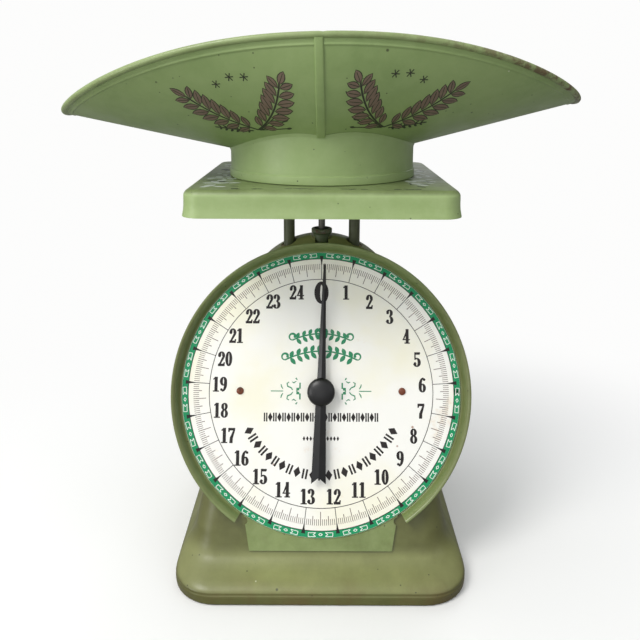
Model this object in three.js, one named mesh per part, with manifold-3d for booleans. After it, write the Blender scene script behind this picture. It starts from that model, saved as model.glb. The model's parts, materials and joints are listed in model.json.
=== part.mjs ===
// A sprung dial scale: a pressed-steel case with a leaning round dial, a square
// weighing platform on two guided posts, and a loose double-ended scoop.
// Units are millimetres, +Z is up, the dial looks towards -Y, and the origin is
// the centre of the base on the table.
import * as THREE from "three";
import { mergeVertices } from "three/addons/utils/BufferGeometryUtils.js";
import Module from "manifold-3d";

const wasm = await Module();
wasm.setup();

// ---------------------------------------------------------------- driving sizes
const gap = 0.3; // air between neighbouring pieces
const runningGap = 0.06; // radial clearance of a shaft in its bush

const baseHalf = 97.7;
const baseSkirtHeight = 6;
const baseCorner = 30;
const bodyCorner = 16;
const crownCorner = 9;
const caseSheet = 1.5;
const flangeWidth = 6;
const archRadius = 56.6;
const archCentreZ = 165.7;
const sideSlope = 0.21;
const rearTopY = 24;
const rearTopZ = 215;
const rearSlope = 0.34;
const sideToeTopZ = 36;
const frontToeTopZ = 24;

const dialCentre = new THREE.Vector3(0, -42, 122.25);
const dialLean = THREE.MathUtils.degToRad(20);
const dialRadius = 95.6;
const dialSheet = 0.8;
const plateFrontY = dialSheet + gap;
const plateSheet = 1.2;
const plateBackY = plateFrontY + plateSheet;
const wallY = plateBackY + gap; // outer face of the case front, behind the dial plane
const bezelRadius = 102;
const bezelSlopeRadius = 101; // where the flange's steep slope turns into its flat lip
const bezelDepth = 6.2;
const bezelGapAngle = THREE.MathUtils.degToRad(34);
const tabHalfWidth = 47.5;
const tabDrop = 104;
const tabShoulderHalf = 52;
const tabShoulderDrop = 79;
const caseOpeningRadius = 38;
const rivetClearance = 4;
const postClearance = 2;
const nutClearance = 0.7;
const rivetX = 55.5;
const plateScrewX = 44.5;
const screwShank = 1.1;

const pitchRadius = 2.7;
const pinionTeeth = 9;
const toothPitch = (2 * Math.PI * pitchRadius) / pinionTeeth;
const shaftRadius = 1.25;
const bushRadius = 3;
const pinionY = 17.5; // middle of pinion and rack behind the dial plane
const rackThickness = 3;
const bracketBackY = 24;
const bracketSheet = 1.5;
const bracketArmZ = 12;
const bracketHalfWidth = 9;

const postX = 23.5;
const postY = 5;
const postRadius = 4;
const postBottomZ = 46;
const postHoleDepth = 14;
const yokeBottomZ = 84;
const yokeHeight = 6;
const armHeight = 3;
const guideZ = 58;
const guideSheet = 2;
const guideHalfWidth = 32;
const guideReach = 74; // from behind the rear wall's frame to past the posts
const guideBushBottomZ = 203;
const guideBushTopZ = 214;
const guideBushFlange = 2;
const guideBushFlangeRadius = 7.5;
const guideBushRadius = 5.6;
const postScrewHole = 2.2;
const postScrewLength = 16;
const yokeHalfWidth = 33;
const yokeHalfDepth = 6.5;
const springX = 11;
const springRadius = 4.2;
const springWire = 0.8;
const springTurns = 10;
const springStepsPerTurn = 10;
const hangerZ = 184;
const hangerHeight = 6;
const hangerHalfWidth = 17;
const hangerHalfDepth = 4;
const wireHole = 1.2; // holes for the springs' straight ends
const springLeg = 5; // straight wire between a bar and the first coil
const rodRadius = 2.4;
const rodTopZ = 238;
const nutBottomZ = 217.3;
const nutHeight = 9.8;
const nutBodyRadius = 6.2;
const nutLipRadius = 7.4;
const nutLipHeight = 3.4;
const nutLipWall = 1.6;
const nutGrooves = 12;
const nutSeatHalf = 12;
const nutSeatSheet = 0.8;

const platformHalf = 84.5;
const platformTopZ = 267;
const platformSkirt = 16.5;
const platformShoulder = 4.5;
const platformCorner = 11;
const platformSheet = 1.2;
const strapHeight = 2.8;
const strapHalfWidth = 60;
const strapHalfDepth = 10;

const scoopHalfLength = 172.5;
const scoopRadius = 92;
const keelZ = 273;
const keelSlope = 0.234;
const rimTopZ = 355;
const rimFall = 41.6; // brings the rim down to the keel at the tips
const rimPower = 2.25;
const scoopSheet = 0.8;
const scoopTilt = THREE.MathUtils.degToRad(1.5); // the bowl is soldered a little askew on its foot
const rimBead = 2;
const footRingRadius = 63.2;
const footRingSheet = 0.9;
const footHemWidth = 0.9;
const footHemHeight = 5.2;
const seamStripHalf = 2.5;
const seamStripSheet = 0.5;

// ---------------------------------------------------------------- materials
function paint(name, colour, roughness, metalness) {
  return new THREE.MeshStandardMaterial({ name, color: colour, roughness, metalness });
}
const scoopPaint = paint("scoop_paint", 0x7f9460, 0.45, 0.1);
const platformPaint = paint("platform_paint", 0x9cb07c, 0.45, 0.1);
const casePaint = paint("case_paint", 0x7c8a54, 0.5, 0.1);
const dialPaint = paint("dial_paint", 0xf4f1e2, 0.4, 0.0);
const blackPaint = paint("black_paint", 0x26282a, 0.4, 0.2);
const steel = paint("steel", 0x6c6a62, 0.5, 0.9);
const rustySteel = paint("rusty_steel", 0x7d5a40, 0.8, 0.5);
const brass = paint("brass", 0xa98a4b, 0.4, 0.9);
const springSteel = paint("spring_steel", 0x55565a, 0.4, 0.9);

// ---------------------------------------------------------------- solids
// A closed three.js geometry as a solid, with its faces turned outwards.
function solid(geometry, matrix) {
  const bare = geometry.index ? geometry.toNonIndexed() : geometry.clone();
  bare.deleteAttribute("normal");
  bare.deleteAttribute("uv");
  if (matrix) bare.applyMatrix4(matrix);
  const merged = mergeVertices(bare, 1e-4);
  const triangles = [];
  const index = merged.index.array;
  for (let i = 0; i < index.length; i += 3) {
    const [a, b, c] = index.slice(i, i + 3);
    if (a !== b && b !== c && c !== a) triangles.push(a, b, c);
  }
  const build = (triVerts) =>
    new wasm.Manifold(
      new wasm.Mesh({
        numProp: 3,
        vertProperties: merged.attributes.position.array,
        triVerts: new Uint32Array(triVerts),
      }),
    );
  const made = build(triangles);
  return made.volume() < 0 ? build(triangles.reverse()) : made;
}

function geometryOf(manifold) {
  const mesh = manifold.getMesh();
  const geometry = new THREE.BufferGeometry();
  geometry.setAttribute("position", new THREE.BufferAttribute(mesh.vertProperties, 3));
  geometry.setIndex(new THREE.BufferAttribute(mesh.triVerts, 1));
  geometry.computeVertexNormals();
  return geometry;
}

function join(...solids) {
  return solids.reduce((whole, piece) => whole.add(piece));
}

function cut(whole, ...tools) {
  return tools.reduce((rest, tool) => rest.subtract(tool), whole);
}

// The matrix of a frame turned about X and moved to a point.
function frameMatrix(angleX, x, y, z) {
  const turned = new THREE.Matrix4().makeRotationX(angleX);
  return turned.setPosition(x, y, z);
}

const dialFrame = frameMatrix(-dialLean, dialCentre.x, dialCentre.y, dialCentre.z);
const upright = frameMatrix(Math.PI / 2, 0, 0, 0); // turns a lathe's Y axis to +Z

// A box between two corners.
function box(x0, x1, y0, y1, z0, z1, matrix) {
  const made = new THREE.BoxGeometry(x1 - x0, y1 - y0, z1 - z0);
  made.translate((x0 + x1) / 2, (y0 + y1) / 2, (z0 + z1) / 2);
  return solid(made, matrix);
}

// A turned piece from [radius, height] pairs; the axis is Y, or Z when upright.
function turned(profile, segments = 24) {
  const closed = [...profile, profile[0]].map(([r, h]) => new THREE.Vector2(r, h));
  return new THREE.LatheGeometry(closed, segments);
}

function uprightTurned(profile, x, y, segments = 20) {
  const geometry = turned(profile, segments);
  geometry.applyMatrix4(upright);
  geometry.translate(x, y, 0);
  return solid(geometry);
}

// A rod of the given radius along Y between two depths, centred on x and z.
function crossRod(radius, y0, y1, x, z, matrix, segments = 16) {
  const geometry = turned([[0, y0], [radius, y0], [radius, y1], [0, y1]], segments);
  geometry.translate(x, 0, z);
  return solid(geometry, matrix);
}

function uprightRod(radius, z0, z1, x, y, segments = 20) {
  return uprightTurned([[0, z0], [radius, z0], [radius, z1], [0, z1]], x, y, segments);
}

// A plate in the XZ plane between two depths, from an outline of [x, z] points.
function plate(outline, y0, y1, matrix) {
  const shape = new THREE.Shape(outline.map(([x, z]) => new THREE.Vector2(x, z)));
  const geometry = new THREE.ExtrudeGeometry(shape, { depth: y1 - y0, bevelEnabled: false });
  geometry.rotateX(Math.PI / 2);
  geometry.translate(0, y1, 0);
  return solid(geometry, matrix);
}

// A closed skin over rings of an even number of points. Its two ends are capped by strips
// between a ring's first and second half, or joined in a loop.
function skin(rings, loop = false) {
  const count = rings[0].length;
  const points = rings.flat();
  const index = [];
  const steps = loop ? rings.length : rings.length - 1;
  for (let i = 0; i < steps; i += 1) {
    const low = i * count;
    const high = ((i + 1) % rings.length) * count;
    for (let j = 0; j < count; j += 1) {
      const next = (j + 1) % count;
      index.push(low + j, low + next, high + next, low + j, high + next, high + j);
    }
  }
  if (!loop) {
    const end = (rings.length - 1) * count;
    for (let j = 0; j < count / 2 - 1; j += 1) {
      const [a, b, c, d] = [j, j + 1, count - 2 - j, count - 1 - j];
      index.push(a, c, b, a, d, c);
      index.push(end + a, end + b, end + c, end + a, end + c, end + d);
    }
  }
  const geometry = new THREE.BufferGeometry().setFromPoints(points);
  geometry.setIndex(index);
  return solid(geometry);
}

// A round wire along a list of points.
function wire(path, radius, sides, loop = false) {
  const last = path.length - 1;
  let across = null;
  const rings = path.map((point, i) => {
    const before = loop ? path[(i + last) % path.length] : path[Math.max(i - 1, 0)];
    const after = loop ? path[(i + 1) % path.length] : path[Math.min(i + 1, last)];
    const along = after.clone().sub(before).normalize();
    if (!across) across = new THREE.Vector3(0.3, 0.2, 1).cross(along);
    across.addScaledVector(along, -across.dot(along)).normalize();
    const other = along.clone().cross(across);
    return Array.from({ length: sides }, (_, j) => {
      const angle = (2 * Math.PI * j) / sides;
      return point
        .clone()
        .addScaledVector(across, radius * Math.cos(angle))
        .addScaledVector(other, radius * Math.sin(angle));
    });
  });
  return skin(rings, loop);
}

// One level ring of a box with rounded corners.
function roundedRing(half, front, rear, corner, z, cornerSteps = 4) {
  const radius = Math.min(corner, half * 0.9, (rear - front) * 0.45);
  const centres = [
    [half - radius, rear - radius, 0],
    [-half + radius, rear - radius, 1],
    [-half + radius, front + radius, 2],
    [half - radius, front + radius, 3],
  ];
  return centres.flatMap(([x, y, quarter]) =>
    Array.from({ length: cornerSteps + 1 }, (_, k) => {
      const angle = ((quarter + k / cornerSteps) * Math.PI) / 2;
      return new THREE.Vector3(x + radius * Math.cos(angle), y + radius * Math.sin(angle), z);
    }),
  );
}

const objectGroup = new THREE.Group();
const dialGroup = new THREE.Group(); // everything built square to the leaning dial
dialGroup.position.copy(dialCentre);
dialGroup.rotation.x = -dialLean;
objectGroup.add(dialGroup);

function addPart(group, name, material, manifold) {
  const mesh = new THREE.Mesh(geometryOf(manifold), material);
  mesh.name = name;
  group.add(mesh);
}

// ---------------------------------------------------------------- case
// The toe's profile on one side: how far it draws in from the skirt at a height. It leaves
// the skirt upright, turns over, and sweeps up into the body's wall.
function toeInset(z, topZ, topInset, wallSlope) {
  const rise = topZ - baseSkirtHeight;
  const curve = new THREE.CubicBezierCurve(
    new THREE.Vector2(0, baseSkirtHeight),
    new THREE.Vector2(0, baseSkirtHeight + 0.42 * rise),
    new THREE.Vector2(topInset - wallSlope * 0.55 * rise, topZ - 0.55 * rise),
    new THREE.Vector2(topInset, topZ),
  );
  let low = 0;
  let high = 1;
  for (let i = 0; i < 30; i += 1) {
    const middle = (low + high) / 2;
    if (curve.getPoint(middle).y < z) low = middle;
    else high = middle;
  }
  return curve.getPoint(low).x;
}

const leanSlope = Math.tan(dialLean);
const bodyFrontY = (z) => dialCentre.y + (z - dialCentre.z) * leanSlope + wallY / Math.cos(dialLean);
const bodyRearY = (z) => rearTopY + (rearTopZ - z) * rearSlope;
const archStart = Math.atan(sideSlope); // where the arch meets the sloping sides without a break
const sideTopHalf = archRadius * Math.cos(archStart);
const sideTopZ = archCentreZ + archRadius * Math.sin(archStart);
const bodyHalf = (z) => sideTopHalf + (sideTopZ - z) * sideSlope;

// A wall's distance from the centre at a height: the footprint, the toe, or the body's own wall.
function wallDistance(z, bodyDistance, topZ, slope) {
  if (z >= topZ) return bodyDistance(z);
  if (z <= baseSkirtHeight) return baseHalf;
  return baseHalf - toeInset(z, topZ, baseHalf - bodyDistance(topZ), slope);
}

// One ring of the case: at an outline height, or at an angle up the arch, drawn in by the sheet.
function caseRing(z, archAngle, inset) {
  const cornerSteps = 4;
  const away = { x: Math.cos(archAngle), z: Math.sin(archAngle) };
  const onArch = archAngle > 0;
  const half = wallDistance(z, bodyHalf, sideToeTopZ, sideSlope) - inset;
  const x = onArch ? (archRadius - inset) * away.x : half;
  const outlineZ = onArch ? archCentreZ + (archRadius - inset) * away.z : z;
  const spread = THREE.MathUtils.clamp((sideToeTopZ - z) / sideToeTopZ, 0, 1);
  const corner = onArch
    ? THREE.MathUtils.lerp(bodyCorner, crownCorner, away.z)
    : THREE.MathUtils.lerp(bodyCorner, baseCorner, spread);
  const radius = corner - inset;
  const wallInset = inset / Math.cos(dialLean);
  const quarter = Array.from({ length: cornerSteps + 1 }, (_, k) => {
    const turn = ((k / cornerSteps) * Math.PI) / 2;
    return { drawnIn: radius * (1 - Math.sin(turn)), deep: radius * (1 - Math.cos(turn)) };
  });
  const place = (side, rear, { drawnIn, deep }) => {
    const height = outlineZ - drawnIn * away.z;
    const frontY = -wallDistance(height, (h) => -bodyFrontY(h), frontToeTopZ, leanSlope);
    const rearY = wallDistance(height, bodyRearY, sideToeTopZ, rearSlope);
    const y = rear ? rearY - wallInset - deep : frontY + wallInset + deep;
    return new THREE.Vector3(side * (x - drawnIn * away.x), y, height);
  };
  const back = [...quarter].reverse();
  return [
    ...back.map((p) => place(1, true, p)),
    ...quarter.map((p) => place(-1, true, p)),
    ...back.map((p) => place(-1, false, p)),
    ...quarter.map((p) => place(1, false, p)),
  ];
}

function caseSolid(inset, bottomZ) {
  const heights = [bottomZ, baseSkirtHeight, 10, 12.5, 15, 18, 21, frontToeTopZ, 29, sideToeTopZ];
  const archSteps = 8;
  const archEnd = THREE.MathUtils.degToRad(85);
  const archAngles = Array.from({ length: archSteps + 1 }, (_, k) =>
    THREE.MathUtils.lerp(archStart, archEnd, k / archSteps),
  );
  return skin([
    ...heights.map((z) => caseRing(z, 0, inset)),
    ...archAngles.map((angle) => caseRing(archCentreZ, angle, inset)),
  ]);
}

const rearTilt = Math.atan(rearSlope);
const rearFrameZ = 50;
const rearFrameY = bodyRearY(rearFrameZ);
const rearFrame = frameMatrix(rearTilt, 0, rearFrameY, rearFrameZ);
const guideRivetX = 20;
const guideRivetZ = -4;
const rivetHole = 1.8;

function baseShell() {
  const outside = caseSolid(0, 0);
  const inside = caseSolid(caseSheet, caseSheet);
  const openHalf = baseHalf - caseSheet - flangeWidth;
  const openRing = (z) =>
    roundedRing(openHalf, -openHalf, openHalf, baseCorner - flangeWidth, z);
  const bottomOpening = skin([openRing(-1), openRing(caseSheet + 1)]);
  const dialOpening = crossRod(caseOpeningRadius, -3, 8, 0, 0, dialFrame, 28);
  const through = [-1, 1].flatMap((side) => [
    crossRod(rivetClearance, -3, 12, side * rivetX, 0, dialFrame),
    crossRod(screwShank + 0.2, -3, 9, side * plateScrewX, 0, dialFrame),
    crossRod(rivetHole, -6, 3, side * guideRivetX, guideRivetZ, rearFrame),
    uprightRod(postRadius + postClearance, 195, 230, side * postX, postY),
  ]);
  const nutHole = uprightRod(nutBodyRadius + nutClearance, 210, 230, 0, postY);
  return cut(outside, inside, bottomOpening, dialOpening, nutHole, ...through);
}

// One stamping: a flat disc, a forward flange round it, and a flat tab at the bottom.
function frontPlate() {
  const profile = [
    [bushRadius + 0.2, plateFrontY],
    [96.2, plateFrontY],
    [97.4, 0],
    [99, -4.2],
    [bezelSlopeRadius, 0.2 - bezelDepth],
    [bezelRadius, -bezelDepth],
    [bezelRadius, plateSheet - bezelDepth],
    [bezelSlopeRadius + 0.3, 1.4 - bezelDepth],
    [100.2, -3.4],
    [98.6, 0.9],
    [97.2, plateBackY],
    [bushRadius + 0.2, plateBackY],
  ];
  const dish = solid(turned(profile, 52));
  const reach = 140;
  const spread = reach * Math.tan(bezelGapAngle);
  const wedge = plate([[0, 0], [spread, -reach], [-spread, -reach]], -20, 20);
  const flangeBand = solid(turned([[95.9, -9], [110, -9], [110, 9], [95.9, 9]], 52));
  const tab = plate(
    [
      [-tabHalfWidth, -tabDrop],
      [tabHalfWidth, -tabDrop],
      [tabShoulderHalf, -tabShoulderDrop],
      [-tabShoulderHalf, -tabShoulderDrop],
    ],
    plateFrontY,
    plateBackY,
  );
  const hole = screwShank + 0.2;
  const holes = [-1, 1].flatMap((side) => [
    crossRod(hole, -1, 5, 0, side * bracketScrewZ),
    crossRod(hole, -1, 5, side * plateScrewX, 0),
    crossRod(rivetHole, -1, 5, side * rivetX, 0),
  ]);
  return cut(join(cut(dish, wedge.intersect(flangeBand)), tab), ...holes);
}

function dialFace() {
  const hole = bushRadius + 0.2;
  const disc = turned([[hole, 0], [dialRadius, 0], [dialRadius, dialSheet], [hole, dialSheet]], 52);
  const rivetHoles = [-1, 1].map((side) => crossRod(rivetHole, -1, 2, side * rivetX, 0));
  return cut(solid(disc), ...rivetHoles);
}

// A rivet along Y with a domed head on the -Y side and a flat tail behind.
function rivet(headRadius, headY, tailY, x, z, matrix) {
  const shank = 1.5;
  const geometry = turned(
    [
      [0, headY - 1.3],
      [headRadius * 0.55, headY - 1.1],
      [headRadius * 0.9, headY - 0.5],
      [headRadius, headY],
      [shank, headY],
      [shank, tailY],
      [headRadius * 0.9, tailY],
      [headRadius * 0.9, tailY + 1],
      [0, tailY + 1],
    ],
    12,
  );
  geometry.translate(x, 0, z);
  return solid(geometry, matrix);
}

// A sheet bracket riveted inside the rear wall, with holes that steer the posts' lower ends.
function lowerGuide() {
  const wallGap = caseSheet + gap;
  const w = guideHalfWidth;
  const ear = box(-w, w, -wallGap - guideSheet, -wallGap, -12, 10.5, rearFrame);
  const shelf = box(-w, w, -8, guideReach, guideZ, guideZ + guideSheet);
  const holes = [-1, 1].flatMap((side) => [
    uprightRod(postRadius + runningGap, guideZ - 8, guideZ + 12, side * postX, postY),
    crossRod(rivetHole, -9, 0, side * guideRivetX, guideRivetZ, rearFrame),
  ]);
  return cut(join(ear, shelf), ...holes);
}

function guideBush(side) {
  const bore = postRadius + runningGap;
  const flangeTopZ = guideBushBottomZ + guideBushFlange;
  const profile = [
    [bore, guideBushBottomZ],
    [guideBushFlangeRadius, guideBushBottomZ],
    [guideBushFlangeRadius, flangeTopZ],
    [guideBushRadius, flangeTopZ],
    [guideBushRadius, guideBushTopZ],
    [bore, guideBushTopZ],
  ];
  return uprightTurned(profile, side * postX, postY);
}

addPart(objectGroup, "base_shell", casePaint, baseShell());
addPart(objectGroup, "lower_guide", steel, lowerGuide());
const halfTurn = new THREE.Matrix4().makeRotationX(Math.PI);
const rearRivetFrame = rearFrame.clone().multiply(halfTurn);
for (const [word, side] of [["left", -1], ["right", 1]]) {
  const tailY = caseSheet + gap + guideSheet + gap;
  const made = rivet(3.4, -gap, tailY, side * guideRivetX, -guideRivetZ, rearRivetFrame);
  addPart(objectGroup, `guide_rivet_${word}`, rustySteel, made);
  addPart(objectGroup, `guide_bush_${word}`, brass, guideBush(side));
}

// ---------------------------------------------------------------- dial side
const bracketScrewZ = 17.5;
const bracketFootY = plateBackY + 0.6;

// A U-shaped bracket behind the plate; its arms also steer the rack.
function movementBracket() {
  const w = bracketHalfWidth;
  const web = box(-w, w, bracketBackY - bracketSheet, bracketBackY, -13.5, 13.5);
  const limbs = [-1, 1].flatMap((side) => {
    const inner = side * bracketArmZ;
    const outer = side * (bracketArmZ + bracketSheet);
    const foot = side * 22;
    const armZ = [inner, outer].sort((a, b) => a - b);
    const footZ = [inner, foot].sort((a, b) => a - b);
    return [
      box(-w, w, bracketFootY, bracketBackY, ...armZ),
      box(-w, w, bracketFootY, bracketFootY + bracketSheet, ...footZ),
    ];
  });
  const halfRack = rackThickness / 2 + 0.4;
  const rackWay = box(1.9, 6.9, pinionY - halfRack, pinionY + halfRack, -20, 20);
  const screwHoles = [-1, 1].map((side) => crossRod(1.3, 0, 8, 0, side * bracketScrewZ));
  const bearing = crossRod(bushRadius + 0.2, 20, 28, 0, 0);
  return cut(join(web, ...limbs), rackWay, bearing, ...screwHoles);
}

// A screw driven into the plate from behind, with its head at a depth.
function rearScrew(headY, x, z) {
  const tip = plateFrontY + 0.1;
  const profile = [[0, tip], [screwShank, tip], [screwShank, headY]];
  profile.push([2.4, headY], [2.2, headY + 1.4], [0, headY + 1.5]);
  const geometry = turned(profile, 16);
  geometry.translate(x, 0, z);
  return solid(geometry);
}

function shaftBush(tubeStart, tubeEnd, flangeStart) {
  const bore = shaftRadius + runningGap;
  return solid(
    turned([
      [bore, tubeStart],
      [bushRadius, tubeStart],
      [bushRadius, flangeStart],
      [bushRadius + 1.6, flangeStart],
      [bushRadius + 1.6, flangeStart + 1],
      [bushRadius, flangeStart + 1],
      [bushRadius, tubeEnd],
      [bore, tubeEnd],
    ]),
  );
}

addPart(dialGroup, "front_plate", casePaint, frontPlate());
addPart(dialGroup, "dial_face", dialPaint, dialFace());
addPart(dialGroup, "movement_bracket", steel, movementBracket());
const bracketHeadY = bracketFootY + bracketSheet + gap;
addPart(dialGroup, "bracket_screw_upper", steel, rearScrew(bracketHeadY, 0, bracketScrewZ));
addPart(dialGroup, "bracket_screw_lower", steel, rearScrew(bracketHeadY, 0, -bracketScrewZ));
addPart(dialGroup, "front_bush", brass, shaftBush(-0.6, 6, plateBackY + gap));
addPart(dialGroup, "rear_bush", brass, shaftBush(21.5, 25.8, bracketBackY + gap));
for (const [word, side] of [["left", -1], ["right", 1]]) {
  const made = rivet(2.5, -gap, plateBackY + gap, side * rivetX, 0);
  addPart(dialGroup, `dial_rivet_${word}`, rustySteel, made);
  const screw = rearScrew(wallY + caseSheet + gap, side * plateScrewX, 0);
  addPart(dialGroup, `plate_screw_${word}`, steel, screw);
}

// ---------------------------------------------------------------- pinion, shaft and pointer
const hubRadius = 9.4;
const pointerY = -6.8;
const pointerSheet = 1.4;
const pointerTip = 87.5;
const pointerTail = 60;

// A tooth outline across the pitch line, from root to tip, as half-widths.
const pinionTooth = [[1.9, 0.47], [pitchRadius, 0.36], [pitchRadius + 0.5, 0.17]];
const rackTooth = [[0.75, 0.5], [0, 0.34], [-0.5, 0.19]];

function pinion() {
  const half = rackThickness / 2 + 0.5;
  const bore = crossRod(shaftRadius + runningGap, -40, 40, 0, 0);
  const core = crossRod(2.05, pinionY - half, pinionY + half, 0, 0);
  const teeth = Array.from({ length: pinionTeeth }, (_, k) => {
    const side = pinionTooth.map(([r, h]) => [r, h]);
    const mirrored = pinionTooth.map(([r, h]) => [r, -h]).reverse();
    const tooth = plate([...side, ...mirrored], pinionY - half, pinionY + half);
    return tooth.rotate([0, ((k + 0.5) * 360) / pinionTeeth, 0]);
  });
  return cut(join(core, ...teeth), bore);
}

function pinionShaft() {
  const front = pointerY;
  const profile = [[0, front], [shaftRadius, front], [shaftRadius, 6.6], [2, 6.6], [2, 12]];
  profile.push([shaftRadius, 12], [shaftRadius, 27.5], [0, 27.5]);
  return solid(turned(profile, 16));
}

function pointer() {
  const outline = [
    [0.7, pointerTip - 1],
    [0, pointerTip],
    [-0.7, pointerTip - 1],
    [-3, 7],
    [-3.65, -7],
    [-4.9, -pointerTail],
    [0, 4 - pointerTail],
    [4.9, -pointerTail],
    [3.65, -7],
    [3, 7],
  ];
  const blade = plate(outline, pointerY, pointerY + pointerSheet);
  const boss = crossRod(hubRadius - 1.5, pointerY, pointerY + pointerSheet, 0, 0, null, 24);
  const collar = crossRod(3, pointerY, -2.2, 0, 0);
  return cut(join(blade, boss, collar), crossRod(shaftRadius + runningGap, -20, 5, 0, 0));
}

function hubCap() {
  const back = pointerY - gap;
  const dome = [0, 0.25, 0.5, 0.75, 1].map((t) => {
    const angle = (t * Math.PI) / 2;
    return [hubRadius * Math.cos(angle), back - 1 - 3.6 * Math.sin(angle)];
  });
  return solid(turned([[0, back], [hubRadius, back], ...dome], 24));
}

addPart(dialGroup, "pinion", brass, pinion());
addPart(dialGroup, "pinion_shaft", steel, pinionShaft());
addPart(dialGroup, "pointer", blackPaint, pointer());
addPart(dialGroup, "hub_cap", blackPaint, hubCap());

// ---------------------------------------------------------------- rack
const rackX = pitchRadius + 0.7; // the rack's toothed face, behind its teeth
const rackMiddleX = rackX + rackThickness / 2;

// Where the rack's middle line stands at a height.
function rackLineY(z) {
  const startY = dialCentre.y + pinionY * Math.cos(dialLean);
  const startZ = dialCentre.z - pinionY * Math.sin(dialLean);
  return startY + (z - startZ) * Math.tan(dialLean);
}

function rackBar() {
  const y0 = pinionY - rackThickness / 2;
  const y1 = pinionY + rackThickness / 2;
  const bar = box(rackX, rackX + rackThickness, y0, y1, -38, 34, dialFrame);
  const teeth = Array.from({ length: 15 }, (_, k) => {
    const z = (k - 2) * toothPitch;
    const upper = rackTooth.map(([x, h]) => [pitchRadius + x, z + h]);
    const lower = rackTooth.map(([x, h]) => [pitchRadius + x, z - h]).reverse();
    return plate([...upper, ...lower], y0, y1, dialFrame);
  });
  const armTop = yokeBottomZ + armHeight;
  const flange = (z) => {
    const y = rackLineY(z + 0.7);
    return box(rackMiddleX - 4.5, rackMiddleX + 4.5, y - 2.6, y + 2.6, z, z + 1.4);
  };
  return join(bar, ...teeth, flange(armTop + gap), flange(yokeBottomZ - gap - 1.4));
}

addPart(objectGroup, "rack", brass, rackBar());

// ---------------------------------------------------------------- platform and posts
function trayRing(half, z, corner) {
  return roundedRing(half, -half, half, corner, z, 5);
}

function platformTray() {
  const skirtZ = platformTopZ - platformSkirt;
  const shell = (inset, bottomZ) => {
    const rings = [trayRing(platformHalf - inset, bottomZ, platformCorner - inset)];
    rings.push(trayRing(platformHalf - 0.8 - inset, skirtZ + 3, platformCorner - inset));
    for (const degrees of [0, 30, 60, 90]) {
      const angle = THREE.MathUtils.degToRad(degrees);
      const half = platformHalf - 0.8 - platformShoulder * (1 - Math.cos(angle)) - inset;
      const rise = platformShoulder * Math.sin(angle) - inset;
      rings.push(trayRing(half, platformTopZ - platformShoulder + rise, platformCorner - inset));
    }
    return skin(rings);
  };
  const screwHoles = [-1, 1].map((side) =>
    uprightRod(postScrewHole, skirtZ + 4, platformTopZ + 8, side * postX, postY),
  );
  return cut(shell(0, skirtZ), shell(platformSheet, skirtZ - 1), ...screwHoles);
}

const strapTopZ = platformTopZ - platformSheet - gap;

function platformBracket() {
  const w = strapHalfWidth;
  const depth = [postY - strapHalfDepth, postY + strapHalfDepth];
  const strap = box(-w, w, ...depth, strapTopZ - strapHeight, strapTopZ);
  const holes = [-1, 1].map((side) =>
    uprightRod(postScrewHole, strapTopZ - 15, strapTopZ + 10, side * postX, postY),
  );
  return cut(strap, ...holes);
}

function post(side) {
  const top = strapTopZ - strapHeight - gap;
  const hole = 2.1;
  const profile = [[0, postBottomZ], [postRadius, postBottomZ], [postRadius, top], [hole, top]];
  profile.push([hole, top - postHoleDepth], [0, top - postHoleDepth]);
  return uprightTurned(profile, side * postX, postY);
}

function postScrew(side) {
  const under = platformTopZ + gap;
  const tip = under - postScrewLength;
  const profile = [[0, tip], [1.8, tip], [1.8, under], [4, under]];
  profile.push([3.6, under + 1.6], [0, under + 2]);
  return uprightTurned(profile, side * postX, postY, 12);
}

// The cross bar low on the posts that pulls the springs and carries the rack's arm.
function loadYoke() {
  const top = yokeBottomZ + yokeHeight;
  const below = yokeBottomZ - 4;
  const above = top + 5;
  const w = yokeHalfWidth;
  const bar = box(-w, w, postY - yokeHalfDepth, postY + yokeHalfDepth, yokeBottomZ, top);
  const armX = [rackMiddleX - 7, rackMiddleX + 7];
  const arm = box(...armX, -48, postY, yokeBottomZ, yokeBottomZ + armHeight);
  const slot = box(rackMiddleX - 1.9, rackMiddleX + 1.9, -45.5, -34, below, above);
  const holes = [-1, 1].flatMap((side) => [
    uprightRod(postRadius + 0.12, below, above, side * postX, postY),
    uprightRod(wireHole, below, above, side * springX, postY, 12),
    box(Math.min(side * 24, side * 40), Math.max(side * 24, side * 40), 3.2, 6.8, 85.2, 88.8),
  ]);
  return cut(join(bar, arm), slot, ...holes);
}

function yokeScrew(side) {
  const geometry = turned([[0, 28], [1.6, 28], [1.6, 32.5], [0, 32.5]], 12);
  geometry.rotateZ((-side * Math.PI) / 2);
  geometry.translate(0, postY, yokeBottomZ + yokeHeight / 2);
  return solid(geometry);
}

addPart(objectGroup, "platform", platformPaint, platformTray());
addPart(objectGroup, "platform_bracket", steel, platformBracket());
addPart(objectGroup, "load_yoke", steel, loadYoke());
for (const [word, side] of [["left", -1], ["right", 1]]) {
  addPart(objectGroup, `post_${word}`, steel, post(side));
  addPart(objectGroup, `post_screw_${word}`, steel, postScrew(side));
  addPart(objectGroup, `yoke_screw_${word}`, steel, yokeScrew(side));
}

// ---------------------------------------------------------------- springs, hanger and zero nut
function spring(side) {
  const low = yokeBottomZ + yokeHeight + springLeg;
  const high = hangerZ - springLeg;
  const legEnd = new THREE.Vector3(side * springX, postY, yokeBottomZ + 1);
  const legTop = new THREE.Vector3(side * springX, postY, hangerZ + hangerHeight - 1);
  const steps = springTurns * springStepsPerTurn;
  const coil = Array.from({ length: steps + 1 }, (_, i) => {
    const angle = (2 * Math.PI * i) / springStepsPerTurn;
    const ease = Math.min(1, i / 7, (steps - i) / 7);
    const x = side * springX + springRadius * ease * Math.cos(angle);
    const y = postY + springRadius * ease * Math.sin(angle);
    return new THREE.Vector3(x, y, low + ((high - low) * i) / steps);
  });
  return wire([legEnd, ...coil, legTop], springWire, 5);
}

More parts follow.
